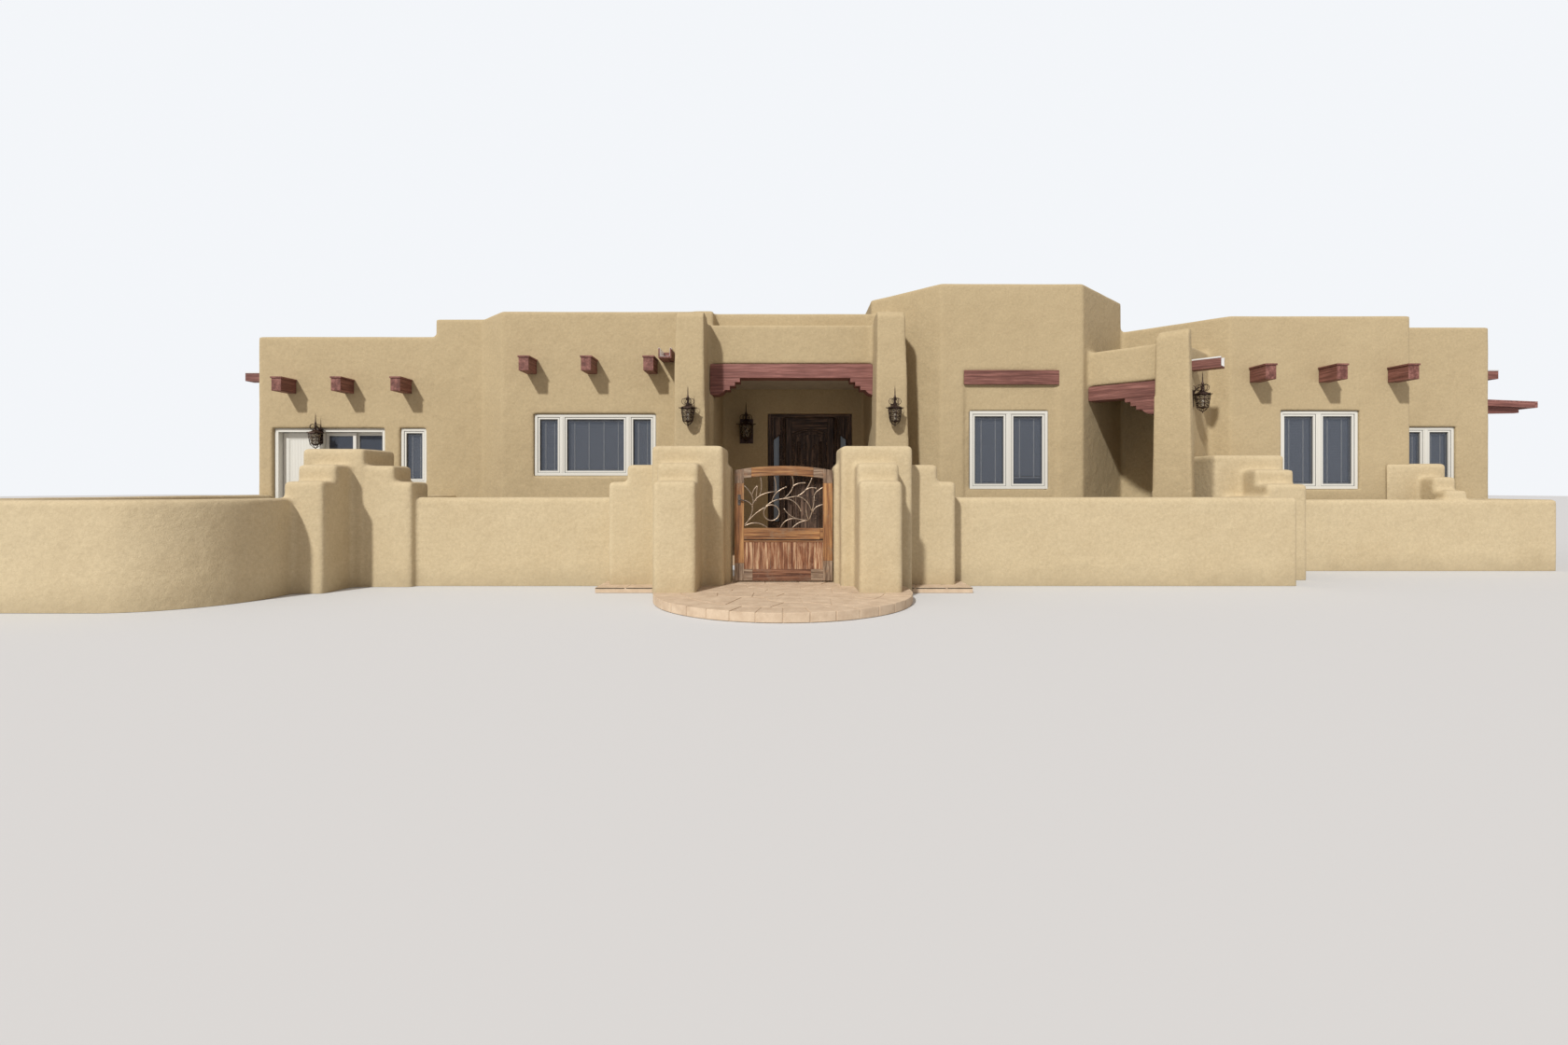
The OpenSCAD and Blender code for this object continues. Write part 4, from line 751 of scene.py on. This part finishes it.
for side, x, slot in SIDES:
    for part, z in (((x[0], slot[0]), STANDING), ((slot[1], x[1]), STANDING), (slot, (0.2, 0.62))):
        box(bm, part, CHEEK_Y, z, PLAN, 2, 0.002)
    head = slanted(slot, 2.17, 2.17, 2.25, side > 0)
    prism(bm, [head[3], head[2], (slot[1], 2.59), (slot[0], 2.59)], CHEEK_Y, PLAN, 2, 0.002)
    ring(bm, (x[0] + 0.02, x[1] - 0.02), (6.196, 6.206), (0.24, 0.58), 0.016)
    box(bm, (x[0] + 0.05, x[1] - 0.05), (6.197, 6.206), (0.27, 0.55), PLAN, 2, 0.005)
    rim = slanted((slot[0] - 0.008, slot[1] + 0.008), 0.612, 2.174, 2.26, side > 0)
    for a, b in zip(rim, rim[1:] + rim[:1]):
        tube(bm, [(a[0], 6.204, a[1]), (b[0], 6.204, b[1])], 0.008)
    for share in (0.12, 0.88):
        c = x[0] + share * (x[1] - x[0])
        tube(bm, [(c, 6.205, 0.63), (c, 6.205, 2.56)], 0.006)
plates(bm, ENTRY_PIN, ENTRY_HINGES, 1, 1, True)
make("entry_surround", bm, [DOOR_WOOD, IRON], ["entry_frame"])
bm = bmesh.new()
for side, _, slot in SIDES:
    prism(bm, slanted(slot, 0.62, 2.17, 2.25, side > 0), (6.268, 6.274))
# The sidelights wear the painted sky reflection.
make("entry_sidelights", bm, [SIDELIGHT_PAINTED_SKY], ["entry_glass"])

# %%
def arch_line(x, low_z, spring, rise, n=14):
    """Points up one side, over a shallow arch and down the other side."""
    half, mid = (x[1] - x[0]) / 2, (x[0] + x[1]) / 2
    r = (half * half + rise * rise) / (2 * rise)
    across = [mid - half + 2 * half * i / n for i in range(n + 1)]
    head = [(p, spring + rise - r + sqrt(r * r - (p - mid) ** 2)) for p in across]
    return [(x[0], low_z)] + head + [(x[1], low_z)]


def scroll(bm, cx, cz, flip, up):
    """A tapering spiral whose tail runs up or down from its eye."""
    points = []
    for i in range(26):
        a = 0.25 + i * 0.3
        r = 0.07 * (0.13 + 0.87 * i / 25)
        points.append((cx + flip * r * cos(a), CARVED_Y, cz + up * r * sin(a)))
    tube(bm, points, 0.0085, PLAN, 6, 0, (0.45, 1.0))


LEAF_Y, CARVED_Y, ROSETTE_X, ROSETTE_Z = (6.294, 6.34), 6.287, 0.49, 1.4
left, right, spring, top = 0.153, 0.827, 2.29, 2.582
bm = bmesh.new()
box(bm, (0.036, 0.944), (6.302, 6.336), (0.211, 2.579), PLAN, 2)
for x in ((0.033, left), (right, 0.947)):
    box(bm, x, LEAF_Y, (0.208, top), PLAN, 2, 0.003)
box(bm, (left, right), LEAF_Y, (0.208, 0.34), PLAN, 0, 0.003)
head = arch_line((left, right), spring, spring, 0.085)[1:-1]
prism(bm, head + [(right, top), (left, top)], LEAF_Y, PLAN, 0, 0.002)
for inset, y, r in ((0.012, 6.2945, 0.01), (0.05, 6.299, 0.007)):
    line = arch_line((left + inset, right - inset), 0.34 + inset, spring - inset, 0.085)
    tube(bm, [(px, y, pz) for px, pz in line + line[:1]], r)
field = arch_line((0.235, 0.745), 0.43, 2.2, 0.07)
prism(bm, field, (6.289, 6.303), PLAN, 2, 0.009)
for c in (0.262, 0.284, 0.306, 0.674, 0.696, 0.718):
    tube(bm, [(c, 6.288, 0.5), (c, 6.288, 2.14)], 0.0075)
for cz in (0.72, 1.06, 1.74, 2.02):
    for flip in (-1, 1):
        scroll(bm, ROSETTE_X + flip * 0.075, cz, flip, 1 if cz > ROSETTE_Z else -1)


def on_rosette(a, r, y):
    return ROSETTE_X + r * cos(a), y, ROSETTE_Z + r * sin(a)


for k in range(8):
    a = pi * k / 4
    petal = PLAN @ move(*on_rosette(a, 0.075, CARVED_Y)) @ Matrix.Rotation(-a, 4, "Y")
    ball(bm, 0.05, petal @ Matrix.Diagonal((1, 0.16, 0.42, 1)), 0, 10)
eye = PLAN @ move(ROSETTE_X, CARVED_Y, ROSETTE_Z)
ball(bm, 0.035, eye @ Matrix.Diagonal((1, 0.3, 1, 1)), 0, 14)
tube(bm, [on_rosette(a, 0.14, 6.289) for a in np.linspace(0, 2 * pi, 33)], 0.008)
plates(bm, ENTRY_PIN, ENTRY_HINGES, -1, 1, False)
box(bm, (0.066, 0.13), (6.289, 6.294), (1.02, 1.3), PLAN, 2, 0.004, 1)
pull = (0.098, 6.236)
for z in (1.03, 1.29):
    tube(bm, [(pull[0], 6.292, z), (*pull, z)], 0.006, PLAN, 10, 1)
tube(bm, [(*pull, z) for z in np.linspace(1.0, 1.3, 9)], 0.0105, PLAN, 12, 1)
for z in (1.0, 1.3):
    ball(bm, 0.013, PLAN @ move(*pull, z), 1)
make("entry_leaf_carved", bm, [DOOR_WOOD, IRON], ["entry_door"], "entry_leaf")

# %% [markdown]
# ## Garden doors and side door
# White joinery: a hinged beaded leaf, a fixed sash and a sliding sash under one head, and a panelled
# side door under the canopy.

# %%
def sash(bm, glass_bm, x, y, z):
    ring(bm, (x, x + 0.527), (y, y + 0.04), z, 0.055)
    seal_z = (z[0] + 0.055, z[1] - 0.055)
    ring(bm, (x + 0.055, x + 0.472), (y + 0.011, y + 0.017), seal_z, 0.005, PLAN, 0, 1)
    box(glass_bm, (x + 0.05, x + 0.477), (y + 0.017, y + 0.023), (z[0] + 0.05, z[1] - 0.05))


GARDEN_PIN, GARDEN_HINGES, GARDEN_Y = (-8.796, 5.2983), (0.38, 1.1, 1.95), (5.13, 5.29)
hung, glazed, head_z = (-8.8, -8.084), (-8.024, -6.99), 2.225
bm, glass_bm = bmesh.new(), bmesh.new()
for x in ((-8.86, hung[0]), (hung[1], glazed[0]), (glazed[1], -6.93)):
    box(bm, x, GARDEN_Y, (0.2, LOW_HEAD_Z), PLAN, 2, 0.004)
for x in (hung, glazed):
    box(bm, x, GARDEN_Y, (head_z, LOW_HEAD_Z), PLAN, 0, 0.004)
box(bm, hung, GARDEN_Y, (0.2, 0.23), PLAN, 0, 0.003)
box(bm, glazed, GARDEN_Y, (0.2, 0.26), PLAN, 0, 0.003)
box(bm, glazed, (5.208, 5.228), (0.26, 0.2677))
sash(bm, glass_bm, -7.517, 5.25, (0.26, head_z))
box(bm, (-8.86, -6.93), (GARDEN_FACE, GARDEN_FACE + WALL), (0, 0.199), PLAN, 0, 0.004, 2)
plates(bm, GARDEN_PIN, GARDEN_HINGES, -1, 0, True)
make("garden_door_joinery", bm, [WHITE, SEAL, STEP_STONE], ["garden_door_frame"])
make("garden_fixed_pane", glass_bm, [GLASS])
bm, glass_bm = bmesh.new(), bmesh.new()
sash(bm, glass_bm, -8.016, 5.198, (0.268, 2.217))
box(bm, (-7.97, -7.955), (5.19, 5.198), (1.0, 1.3), PLAN, 2, 0.003)
make("garden_sliding_sash", bm, [WHITE, SEAL], ["garden_slider"], "slider")
make("garden_sliding_pane", glass_bm, [GLASS], (), "slider")

bm = bmesh.new()
x0, x1, z0, z1, stile, foot = -8.792, -8.092, 0.238, 2.217, 0.095, 0.19
hung_y, inner_x, inner_z = (5.244, 5.29), (x0 + stile, x1 - stile), (z0 + foot, z1 - stile)
for x in ((x0, inner_x[0]), (inner_x[1], x1)):
    box(bm, x, hung_y, (z0, z1), PLAN, 2, 0.003)
for z in ((z0, inner_z[0]), (inner_z[1], z1)):
    box(bm, inner_x, hung_y, z, PLAN, 0, 0.003)
ring(bm, inner_x, (5.247, 5.256), inner_z, 0.014)
for i in range(10):
    x = inner_x[0] + 0.051 * i
    box(bm, (x, x + 0.051), (5.254, 5.289), inner_z, PLAN, 2, 0.0035)
plates(bm, GARDEN_PIN, GARDEN_HINGES, 1, 0, False)
grip = x1 - stile / 2
box(bm, (grip - 0.02, grip + 0.02), (5.24, 5.244), (1.07, 1.24), PLAN, 2, 0.002, 1)
tube(bm, [(grip, 5.243, 1.15), (grip, 5.205, 1.15)], 0.009, PLAN, 12, 1)
tube(bm, [(grip + 0.008, 5.207, 1.15), (grip - 0.085, 5.207, 1.148)], 0.0085, PLAN, 12, 1, (1.0, 0.75))
make("garden_leaf_beaded", bm, [WHITE, IRON], ["garden_door_leaf"], "garden_leaf")

bm = bmesh.new()
side, width, high, proud = at(HOUSE_RIGHT, 5.6, 0.2, 90), 0.914, 2.032, (0.091, 0.101)
box(bm, (0, width), (0.1, 0.14), (0, high), side, 2)
for x in ((0, 0.115), (0.4, 0.514), (0.799, width)):
    box(bm, x, proud, (0, high), side, 2, 0.003)
panels_x = ((0.115, 0.4), (0.514, 0.799))
for z in ((0, 0.22), (0.82, 0.96), (1.55, 1.66), (1.912, high)):
    for x in panels_x:
        box(bm, x, proud, z, side, 0, 0.003)
for z in ((0.22, 0.82), (0.96, 1.55), (1.66, 1.912)):
    for x in panels_x:
        box(bm, (x[0] + 0.025, x[1] - 0.025), (0.093, 0.101), (z[0] + 0.025, z[1] - 0.025), side, 2, 0.007)
knob = side @ move(0.06, 0.091, 0.95) @ spin(90, "X")
turned(bm, [(0.028, 0), (0.028, 0.006), (0.011, 0.01), (0.011, 0.035), (0.026, 0.045), (0.026, 0.06),
            (0, 0.068)], knob, 20, 1)
make("side_door_panelled", bm, [WHITE, IRON], ["side_door"])

# %% [markdown]
# ## Gate
# Arched leaf of orange-brown boards with bleached corners, a mid rail over a groove painted near-black as
# shade, streaked upright boards above a redder foot rail, forged vines and a ring in the top half, and a
# lever latch.

# %%
GATE_PIN, GATE_HINGES, GATE_Y = (0.594, 1.5843), (0.225, 1.247), (1.53, 1.576)
BOARD, GREY, STREAK, PAINTED_SHADE_GROOVE, METAL, RED = range(6)
INNER, FOOT_Z, MID_Z, SHOULDER_Z, MIDDLE_X = (-0.491, 0.479), 0.115, 0.759, 1.31, -0.006
ARCH_RISE, ARCH_TOP = 0.054, 1.521
ARCH_R = (0.6 ** 2 + ARCH_RISE ** 2) / (2 * ARCH_RISE)


def arch_z(x, shrink=0.0):
    return ARCH_TOP - ARCH_R + sqrt((ARCH_R - shrink) ** 2 - (x - MIDDLE_X) ** 2)


def arch_board(bm, x, low_z, mat):
    """A board whose head follows the arch. A low_z of None makes a piece of the arched rail."""
    xs = [x[0] + (x[1] - x[0]) * i / 10 for i in range(11)]
    foot = [(px, arch_z(px, 0.115)) for px in xs] if low_z is None else [(x[0], low_z), (x[1], low_z)]
    grain = 0 if low_z is None else 2
    prism(bm, foot + [(px, arch_z(px)) for px in reversed(xs)], GATE_Y, PLAN, grain, 0.0035, mat)


bm = bmesh.new()
for x, bleached_top in (((-0.606, INNER[0]), 0.33), ((INNER[1], 0.594), 0.36)):
    arch_board(bm, x, SHOULDER_Z, GREY)
    box(bm, x, GATE_Y, (FOOT_Z, bleached_top), PLAN, 2, 0.0035, GREY)
    box(bm, x, GATE_Y, (bleached_top, SHOULDER_Z), PLAN, 2, 0.0035, BOARD)
for x, mat in (((INNER[0], -0.4), GREY), ((-0.4, 0.36), BOARD), ((0.36, INNER[1]), GREY)):
    arch_board(bm, x, None, mat)
for x in ((INNER[0], 0.44), (0.44, INNER[1])):
    box(bm, x, GATE_Y, (0.621, MID_Z), PLAN, 0, 0.004, BOARD)
# Painted shade: a near-black strip fills the groove under the mid rail, where shade falls.
box(bm, INNER, (1.545, 1.561), (0.59, 0.63), PLAN, 0, 0, PAINTED_SHADE_GROOVE)
box(bm, INNER, (1.534, 1.572), (0.588, 0.609), PLAN, 0, 0.003, BOARD)
for i in range(9):
    x = INNER[0] + 0.10778 * i
    box(bm, (x + 0.0006, x + 0.1072), (1.54, 1.566), (0.25, 0.595), PLAN, 2, 0.005, STREAK)
for x, mat in (((INNER[0], -0.385), GREY), ((-0.385, 0.33), RED), ((0.33, INNER[1]), GREY)):
    box(bm, x, GATE_Y, (FOOT_Z, 0.256), PLAN, 0, 0.0035, mat)
plates(bm, GATE_PIN, GATE_HINGES, -1, METAL, False)
box(bm, (-0.566, -0.53), (1.526, 1.53), (1.04, 1.17), PLAN, 2, 0.002, METAL)
tube(bm, [(-0.546, 1.529, 1.105), (-0.546, 1.5, 1.105)], 0.012, PLAN, 14, METAL)
lever = curve((-0.56, 1.499, 1.112), (-0.51, 1.498, 1.103), (-0.462, 1.5, 1.082))
tube(bm, lever, 0.0085, PLAN, 10, METAL, (1.1, 0.7))
make("gate_boards", bm, [GATE_WOOD, GATE_GREY, GATE_STREAK, SEAL, GATE_IRON, GATE_RED],
     ["gate_frame"], "gate")

# %%
VINES = [  # three points each, in millimetres
    (-8, 15, 118, 155, 260, 258), (260, 258, 338, 319, 423, 350), (423, 350, 540, 372, 648, 391),
    (648, 391, 760, 472, 841, 640), (-8, 15, 84, 150, 102, 273), (102, 273, 98, 396, -8, 530),
    (-8, 342, 50, 322, 102, 273), (100, 415, 125, 475, 163, 520), (163, 520, 155, 440, 146, 340),
    (102, 273, 190, 392, 372, 447), (186, 392, 214, 500, 199, 660), (342, 319, 393, 426, 515, 503),
    (388, 425, 390, 530, 367, 660), (495, 365, 566, 437, 600, 508), (600, 508, 658, 544, 745, 554),
    (600, 508, 605, 569, 586, 660), (742, 455, 811, 493, 882, 488), (470, 360, 607, 329, 699, 212),
    (640, 390, 760, 335, 836, 190), (796, 95, 845, 240, 862, 396), (862, 396, 898, 450, 980, 505),
    (843, 190, 885, 255, 980, 292), (765, 222, 773, 155, 796, 95), (490, 243, 607, 131, 796, 95),
    (444, -8, 525, 95, 660, 112), (587, -8, 678, 66, 796, 95), (-8, 15, 150, 62, 301, -8)]


def in_gate(p):
    """Millimetres in the open top of the gate to a plan point that stays under the arch."""
    x, z = p[0] / 1000 + INNER[0], p[1] / 1000 + MID_Z
    return x, sum(GATE_Y) / 2, min(z, arch_z(x, 0.107))


bm = bmesh.new()
for v in VINES:
    tube(bm, curve(*[in_gate(v[k:k + 2]) for k in (0, 2, 4)], 10), 0.0068)
circle = [(337 + 96 * cos(a), 188 + 96 * sin(a)) for a in np.linspace(0, 2 * pi, 41)]
tube(bm, [in_gate(p) for p in circle], 0.0072)
for p in ((745, 554), (515, 503), (882, 488), (699, 212), (146, 340)):
    ball(bm, 0.0115, PLAN @ move(*in_gate(p)))
make("gate_vines", bm, [VINE_IRON], ["gate_scrollwork"], "gate")

bm = bmesh.new()
for z in GATE_HINGES:
    place = at(*GATE_PIN, z)
    turned(bm, BARREL, place, 20)
    ball(bm, 0.0078, place @ move(0, 0, 0.111))
    box(bm, (0.004, 0.008), (0, 0.034), PLATE_Z, place, 2, 0.0005)
make("gate_hinge_pins", bm, [GATE_IRON], ["gate_hinges"])

# %% [markdown]
# ## Lanterns
# Six-sided latticed cages under hipped caps, with a looped crown, a spike, and a scroll arm on a back
# plate. Amber glass stands inside each cage.

# %%
CAGE, CAP, CROWN = [(0.03, 0.08), (0.091, 0.095), (0.152, 0.104), (0.213, 0.108)], 0.232, 0.328


def lantern(bm, m, lean=0.0, eave=0.132):
    """A lantern whose arm starts at m. lean tilts its back plate with a battered wall."""
    plate = m @ spin(-lean, "X")
    box(bm, (-0.045, 0.045), (-0.009, 0), (-0.06, 0.2), plate, 2, 0.003)
    box(bm, (-0.03, 0.03), (-0.014, -0.008), (-0.045, 0.185), plate, 2, 0.003)
    tube(bm, curve((0, -0.01, 0.1), (0, -0.05, 0.2), (0, -0.125, 0.235), 10), 0.008, m)
    tube(bm, curve((0, -0.01, 0.16), (0, -0.035, 0.225), (0, -0.012, 0.262), 8), 0.006, m)
    tube(bm, [(0, -0.006, 0.068), (0, -0.06, 0.068)], 0.008, m)
    c = m @ move(0, -0.135, -0.1075)

    def corner(level, k):
        z, r = CAGE[level]
        return around(r, 60 * k + 30, z)

    for k in range(6):
        tube(bm, [corner(0, k), corner(3, k)], 0.0052, c, 6)
        foot = around(0.014, 60 * k + 30, -0.03)
        sag = (corner(0, k) + foot) / 2 + Vector((0, 0, -0.008))
        tube(bm, curve(corner(0, k), sag, foot, 5), 0.0045, c, 6)
        for level in range(4):
            tube(bm, [corner(level, k), corner(level, k + 1)], 0.0045, c, 6)
        for level in range(3):
            tube(bm, [corner(level, k), corner(level + 1, k + 1)], 0.003, c, 4)
            tube(bm, [corner(level, k + 1), corner(level + 1, k)], 0.003, c, 4)
        ball(bm, 0.008, c @ move(*around(eave, 60 * k, CAP)), 0, 8)
    turned(bm, [(0, 0), (0.066, 0.028), (0.078, 0.03), (0.078, 0.034), (0, 0.034)], c, 6, 0, True)
    turned(bm, [(0.1, 0.213), (eave, 0.226), (eave * 0.98, CAP), (0.08, 0.25), (0.034, 0.276), (0, 0.276)],
           c, 6, 0, True)
    turned(bm, [(0.03, 0.274), (0.015, 0.288), (0.011, 0.305), (0.018, 0.325), (0.011, 0.345),
                (0.011, 0.372), (0.023, 0.378), (0.023, 0.388), (0.012, 0.396), (0.018, 0.404),
                (0.01, 0.414), (0.0075, 0.45), (0.0055, 0.52), (0, 0.575)], c, 12)
    for k in range(6):
        loop = [around(0.012 + 0.04 * (1 - cos(t)), 60 * k, CROWN + 0.046 * sin(t))
                for t in np.linspace(0.3, 5.98, 15)]
        tube(bm, loop, 0.0042, c, 6)
    turned(bm, [(0, -0.06), (0.008, -0.052), (0.005, -0.044), (0.014, -0.036), (0.016, -0.026),
                (0, -0.022)], c, 10)
    turned(bm, [(0.07, 0.036), (0.096, 0.212)], c, 6, 1, True)
    turned(bm, [(0.012, 0.036), (0.012, 0.1), (0, 0.104)], c, 10, 2)
    ball(bm, 0.022, c @ move(0, 0, 0.122) @ Matrix.Scale(1.3, 4, (0, 0, 1)), 2)


bm = bmesh.new()
foot_out, top_out, buttress_high, lamp_z = 0.68, 0.52, 3.92, 2.345
batter = (foot_out - top_out) / buttress_high
lamp_y = PORTAL_FACE - foot_out + batter * lamp_z - 0.0003
for x in (-1.46, 1.685):
    lantern(bm, at(x, lamp_y, lamp_z), degrees(atan(batter)))
recess = at(-0.705, RECESS_FACE, 2.285)
lantern(bm, recess @ Matrix.Scale(1.22, 4), 0, 0.14)
# Painted shade: a wide dark plate behind the recess lantern darkens the wall round it, standing for shade.
box(bm, (-0.125, 0.125), (-0.006, 0), (-0.2, 0.26), recess, 2, 0.002)
lantern(bm, at(-8.064, 5.13, 2.08))
lantern(bm, porch_end(2.55))
make("lantern_cages", bm, [IRON, LAMP_GLASS, BULB], ["lanterns"])

# %% [markdown]
# ## Entry step
# A ring of sandstone edge blocks round the bow of the step, and irregular flagstones inside it and on
# the strips beside it. The flagstones are cells round scattered seeds, cut back for the joints.

# %%
STEP_X, STEP_Y, STEP_R, RING_R, DISC_R = -0.01, 0.89, 1.44, 1.15, 1.138
BLOCKS, RING_START, RING_SWEEP, JOINT, JOINT_ANGLE = 24, -212, 244, 0.006, 0.0035


def slab(bm, outline, z, bevel=0.004):
    prism(bm, [(x, -y) for x, y in outline], z, PLAN @ spin(90, "X"), 0, bevel)


def clipped(poly, point, normal):
    """The part of a convex outline behind a line."""
    out = []
    for p, q in zip(poly, poly[1:] + poly[:1]):
        dp, dq = (p - point).dot(normal), (q - point).dot(normal)
        if dp <= 0:
            out.append(p)
        if dp * dq < 0:
            out.append(p + (q - p) * (dp / (dp - dq)))
    return out


def flags(bm, seeds, edge, z_top):
    """Flagstones round the seeds, inside a convex edge."""
    for i, s in enumerate(seeds):
        poly = list(edge)
        for j, t in enumerate(seeds):
            if i != j and (t - s).length < 1.2:
                n = (t - s).normalized()
                poly = clipped(poly, (s + t) / 2 - n * JOINT, n)
        spread = [p for k, p in enumerate(poly) if (p - poly[k - 1]).length > 2 * JOINT]
        if len(spread) > 2:
            slab(bm, spread, (z_top - 0.02, z_top + random.uniform(-0.002, 0.002)))


def arc(r, angles):
    """Points on a circle about the middle of the step."""
    return [(STEP_X + r * cos(a), STEP_Y + r * sin(a)) for a in angles]


bm = bmesh.new()
for i in range(BLOCKS):
    a0 = radians(RING_START + RING_SWEEP * i / BLOCKS) + JOINT_ANGLE
    a1 = radians(RING_START + RING_SWEEP * (i + 1) / BLOCKS) - JOINT_ANGLE
    angles = [a0 + (a1 - a0) * k / 5 for k in range(6)]
    outer = arc(STEP_R + random.uniform(0.004, 0.009), angles)
    slab(bm, outer + arc(RING_R, angles[::-1]), (0.002, 0.097 + random.uniform(-0.002, 0.002)), 0.006)
disc = [Vector(p) for p in arc(DISC_R, np.linspace(0, 2 * pi, 49)[:-1])]
seeds = []
for i in range(-3, 4):
    for j in range(-3, 4):
        x = STEP_X + 0.36 * i + random.uniform(-0.11, 0.11) + 0.18 * (j % 2)
        seeds.append(Vector((x, STEP_Y + 0.34 * j + random.uniform(-0.1, 0.1))))
flags(bm, [s for s in seeds if (s - Vector((STEP_X, STEP_Y))).length < 1.12], disc, 0.096)
for x in (-2.25, 1.26):
    edge = [Vector(p) for p in ((x, 1.3), (x + 0.99, 1.3), (x + 0.99, 1.888), (x, 1.888))]
    seeds = []
    for i in range(3):
        for j in range(2):
            across = x + 0.17 + 0.33 * i + random.uniform(-0.06, 0.06)
            seeds.append(Vector((across, 1.45 + 0.29 * j + random.uniform(-0.05, 0.05))))
    flags(bm, seeds, edge, 0.065)
make("step_stones", bm, [STEP_STONE])

# %% [markdown]
# ## Floor, light and camera
# A plain pale floor, a broad key light from behind the camera's left, a pale surround, and the camera
# at the photograph's height and angle.

# %%
KEY_DIRECTION = Vector((0.186, 0.37, -0.331))
EYE_HEIGHT, EYE_BACK = 1.25, 7

bm = bmesh.new()
bmesh.ops.create_grid(bm, x_segments=1, y_segments=1, size=120)
floor = stand("studio_floor", bpy.data.meshes.new("studio_floor"))
bm.to_mesh(floor.data)
bm.free()
floor.data.materials.append(new_material("studio_floor", (0.605, 0.615, 0.625), 0.95)[0])
floor.location = (0, 0, -0.003)
floor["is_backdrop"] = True

key = bpy.data.lights.new("key", "SUN")
key.energy = 3.35
key.angle = radians(3.2)
key.color = (0.963, 0.956, 0.928)
stand("key", key).rotation_euler = KEY_DIRECTION.to_track_quat("-Z", "Y").to_euler()

world = bpy.data.worlds.new("surround")
world.use_nodes = True
bpy.context.scene.world = world
wt = world.node_tree
wt.nodes.clear()
rays = wt.nodes.new("ShaderNodeLightPath")
fill, seen, mirror = [add(wt, "ShaderNodeBackground", Color=(*c, 1), Strength=s) for c, s in (
    ((0.99, 0.885, 0.83), 0.54), ((0.9, 0.92, 0.95), 1.0), ((0.4, 0.45, 0.55), 0.85))]
first, second = wt.nodes.new("ShaderNodeMixShader"), wt.nodes.new("ShaderNodeMixShader")
shown = wt.nodes.new("ShaderNodeOutputWorld")
for source, shader, i in (
        (rays.outputs["Is Glossy Ray"], first, 0), (fill.outputs[0], first, 1),
        (mirror.outputs[0], first, 2), (rays.outputs["Is Camera Ray"], second, 0),
        (first.outputs[0], second, 1), (seen.outputs[0], second, 2), (second.outputs[0], shown, 0)):
    wt.links.new(source, shader.inputs[i])

lens = bpy.data.cameras.new("camera")
lens.lens = 16
lens.sensor_width = 36
lens.shift_y = -0.022
lens.clip_end = 400
cam = stand("camera", lens)
cam.location = (-PLAN_X, -EYE_BACK - PLAN_Y, EYE_HEIGHT)
cam.rotation_euler = (radians(90), 0, 0)
bpy.context.scene.camera = cam
bpy.context.scene.view_settings.view_transform = "Standard"

low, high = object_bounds()
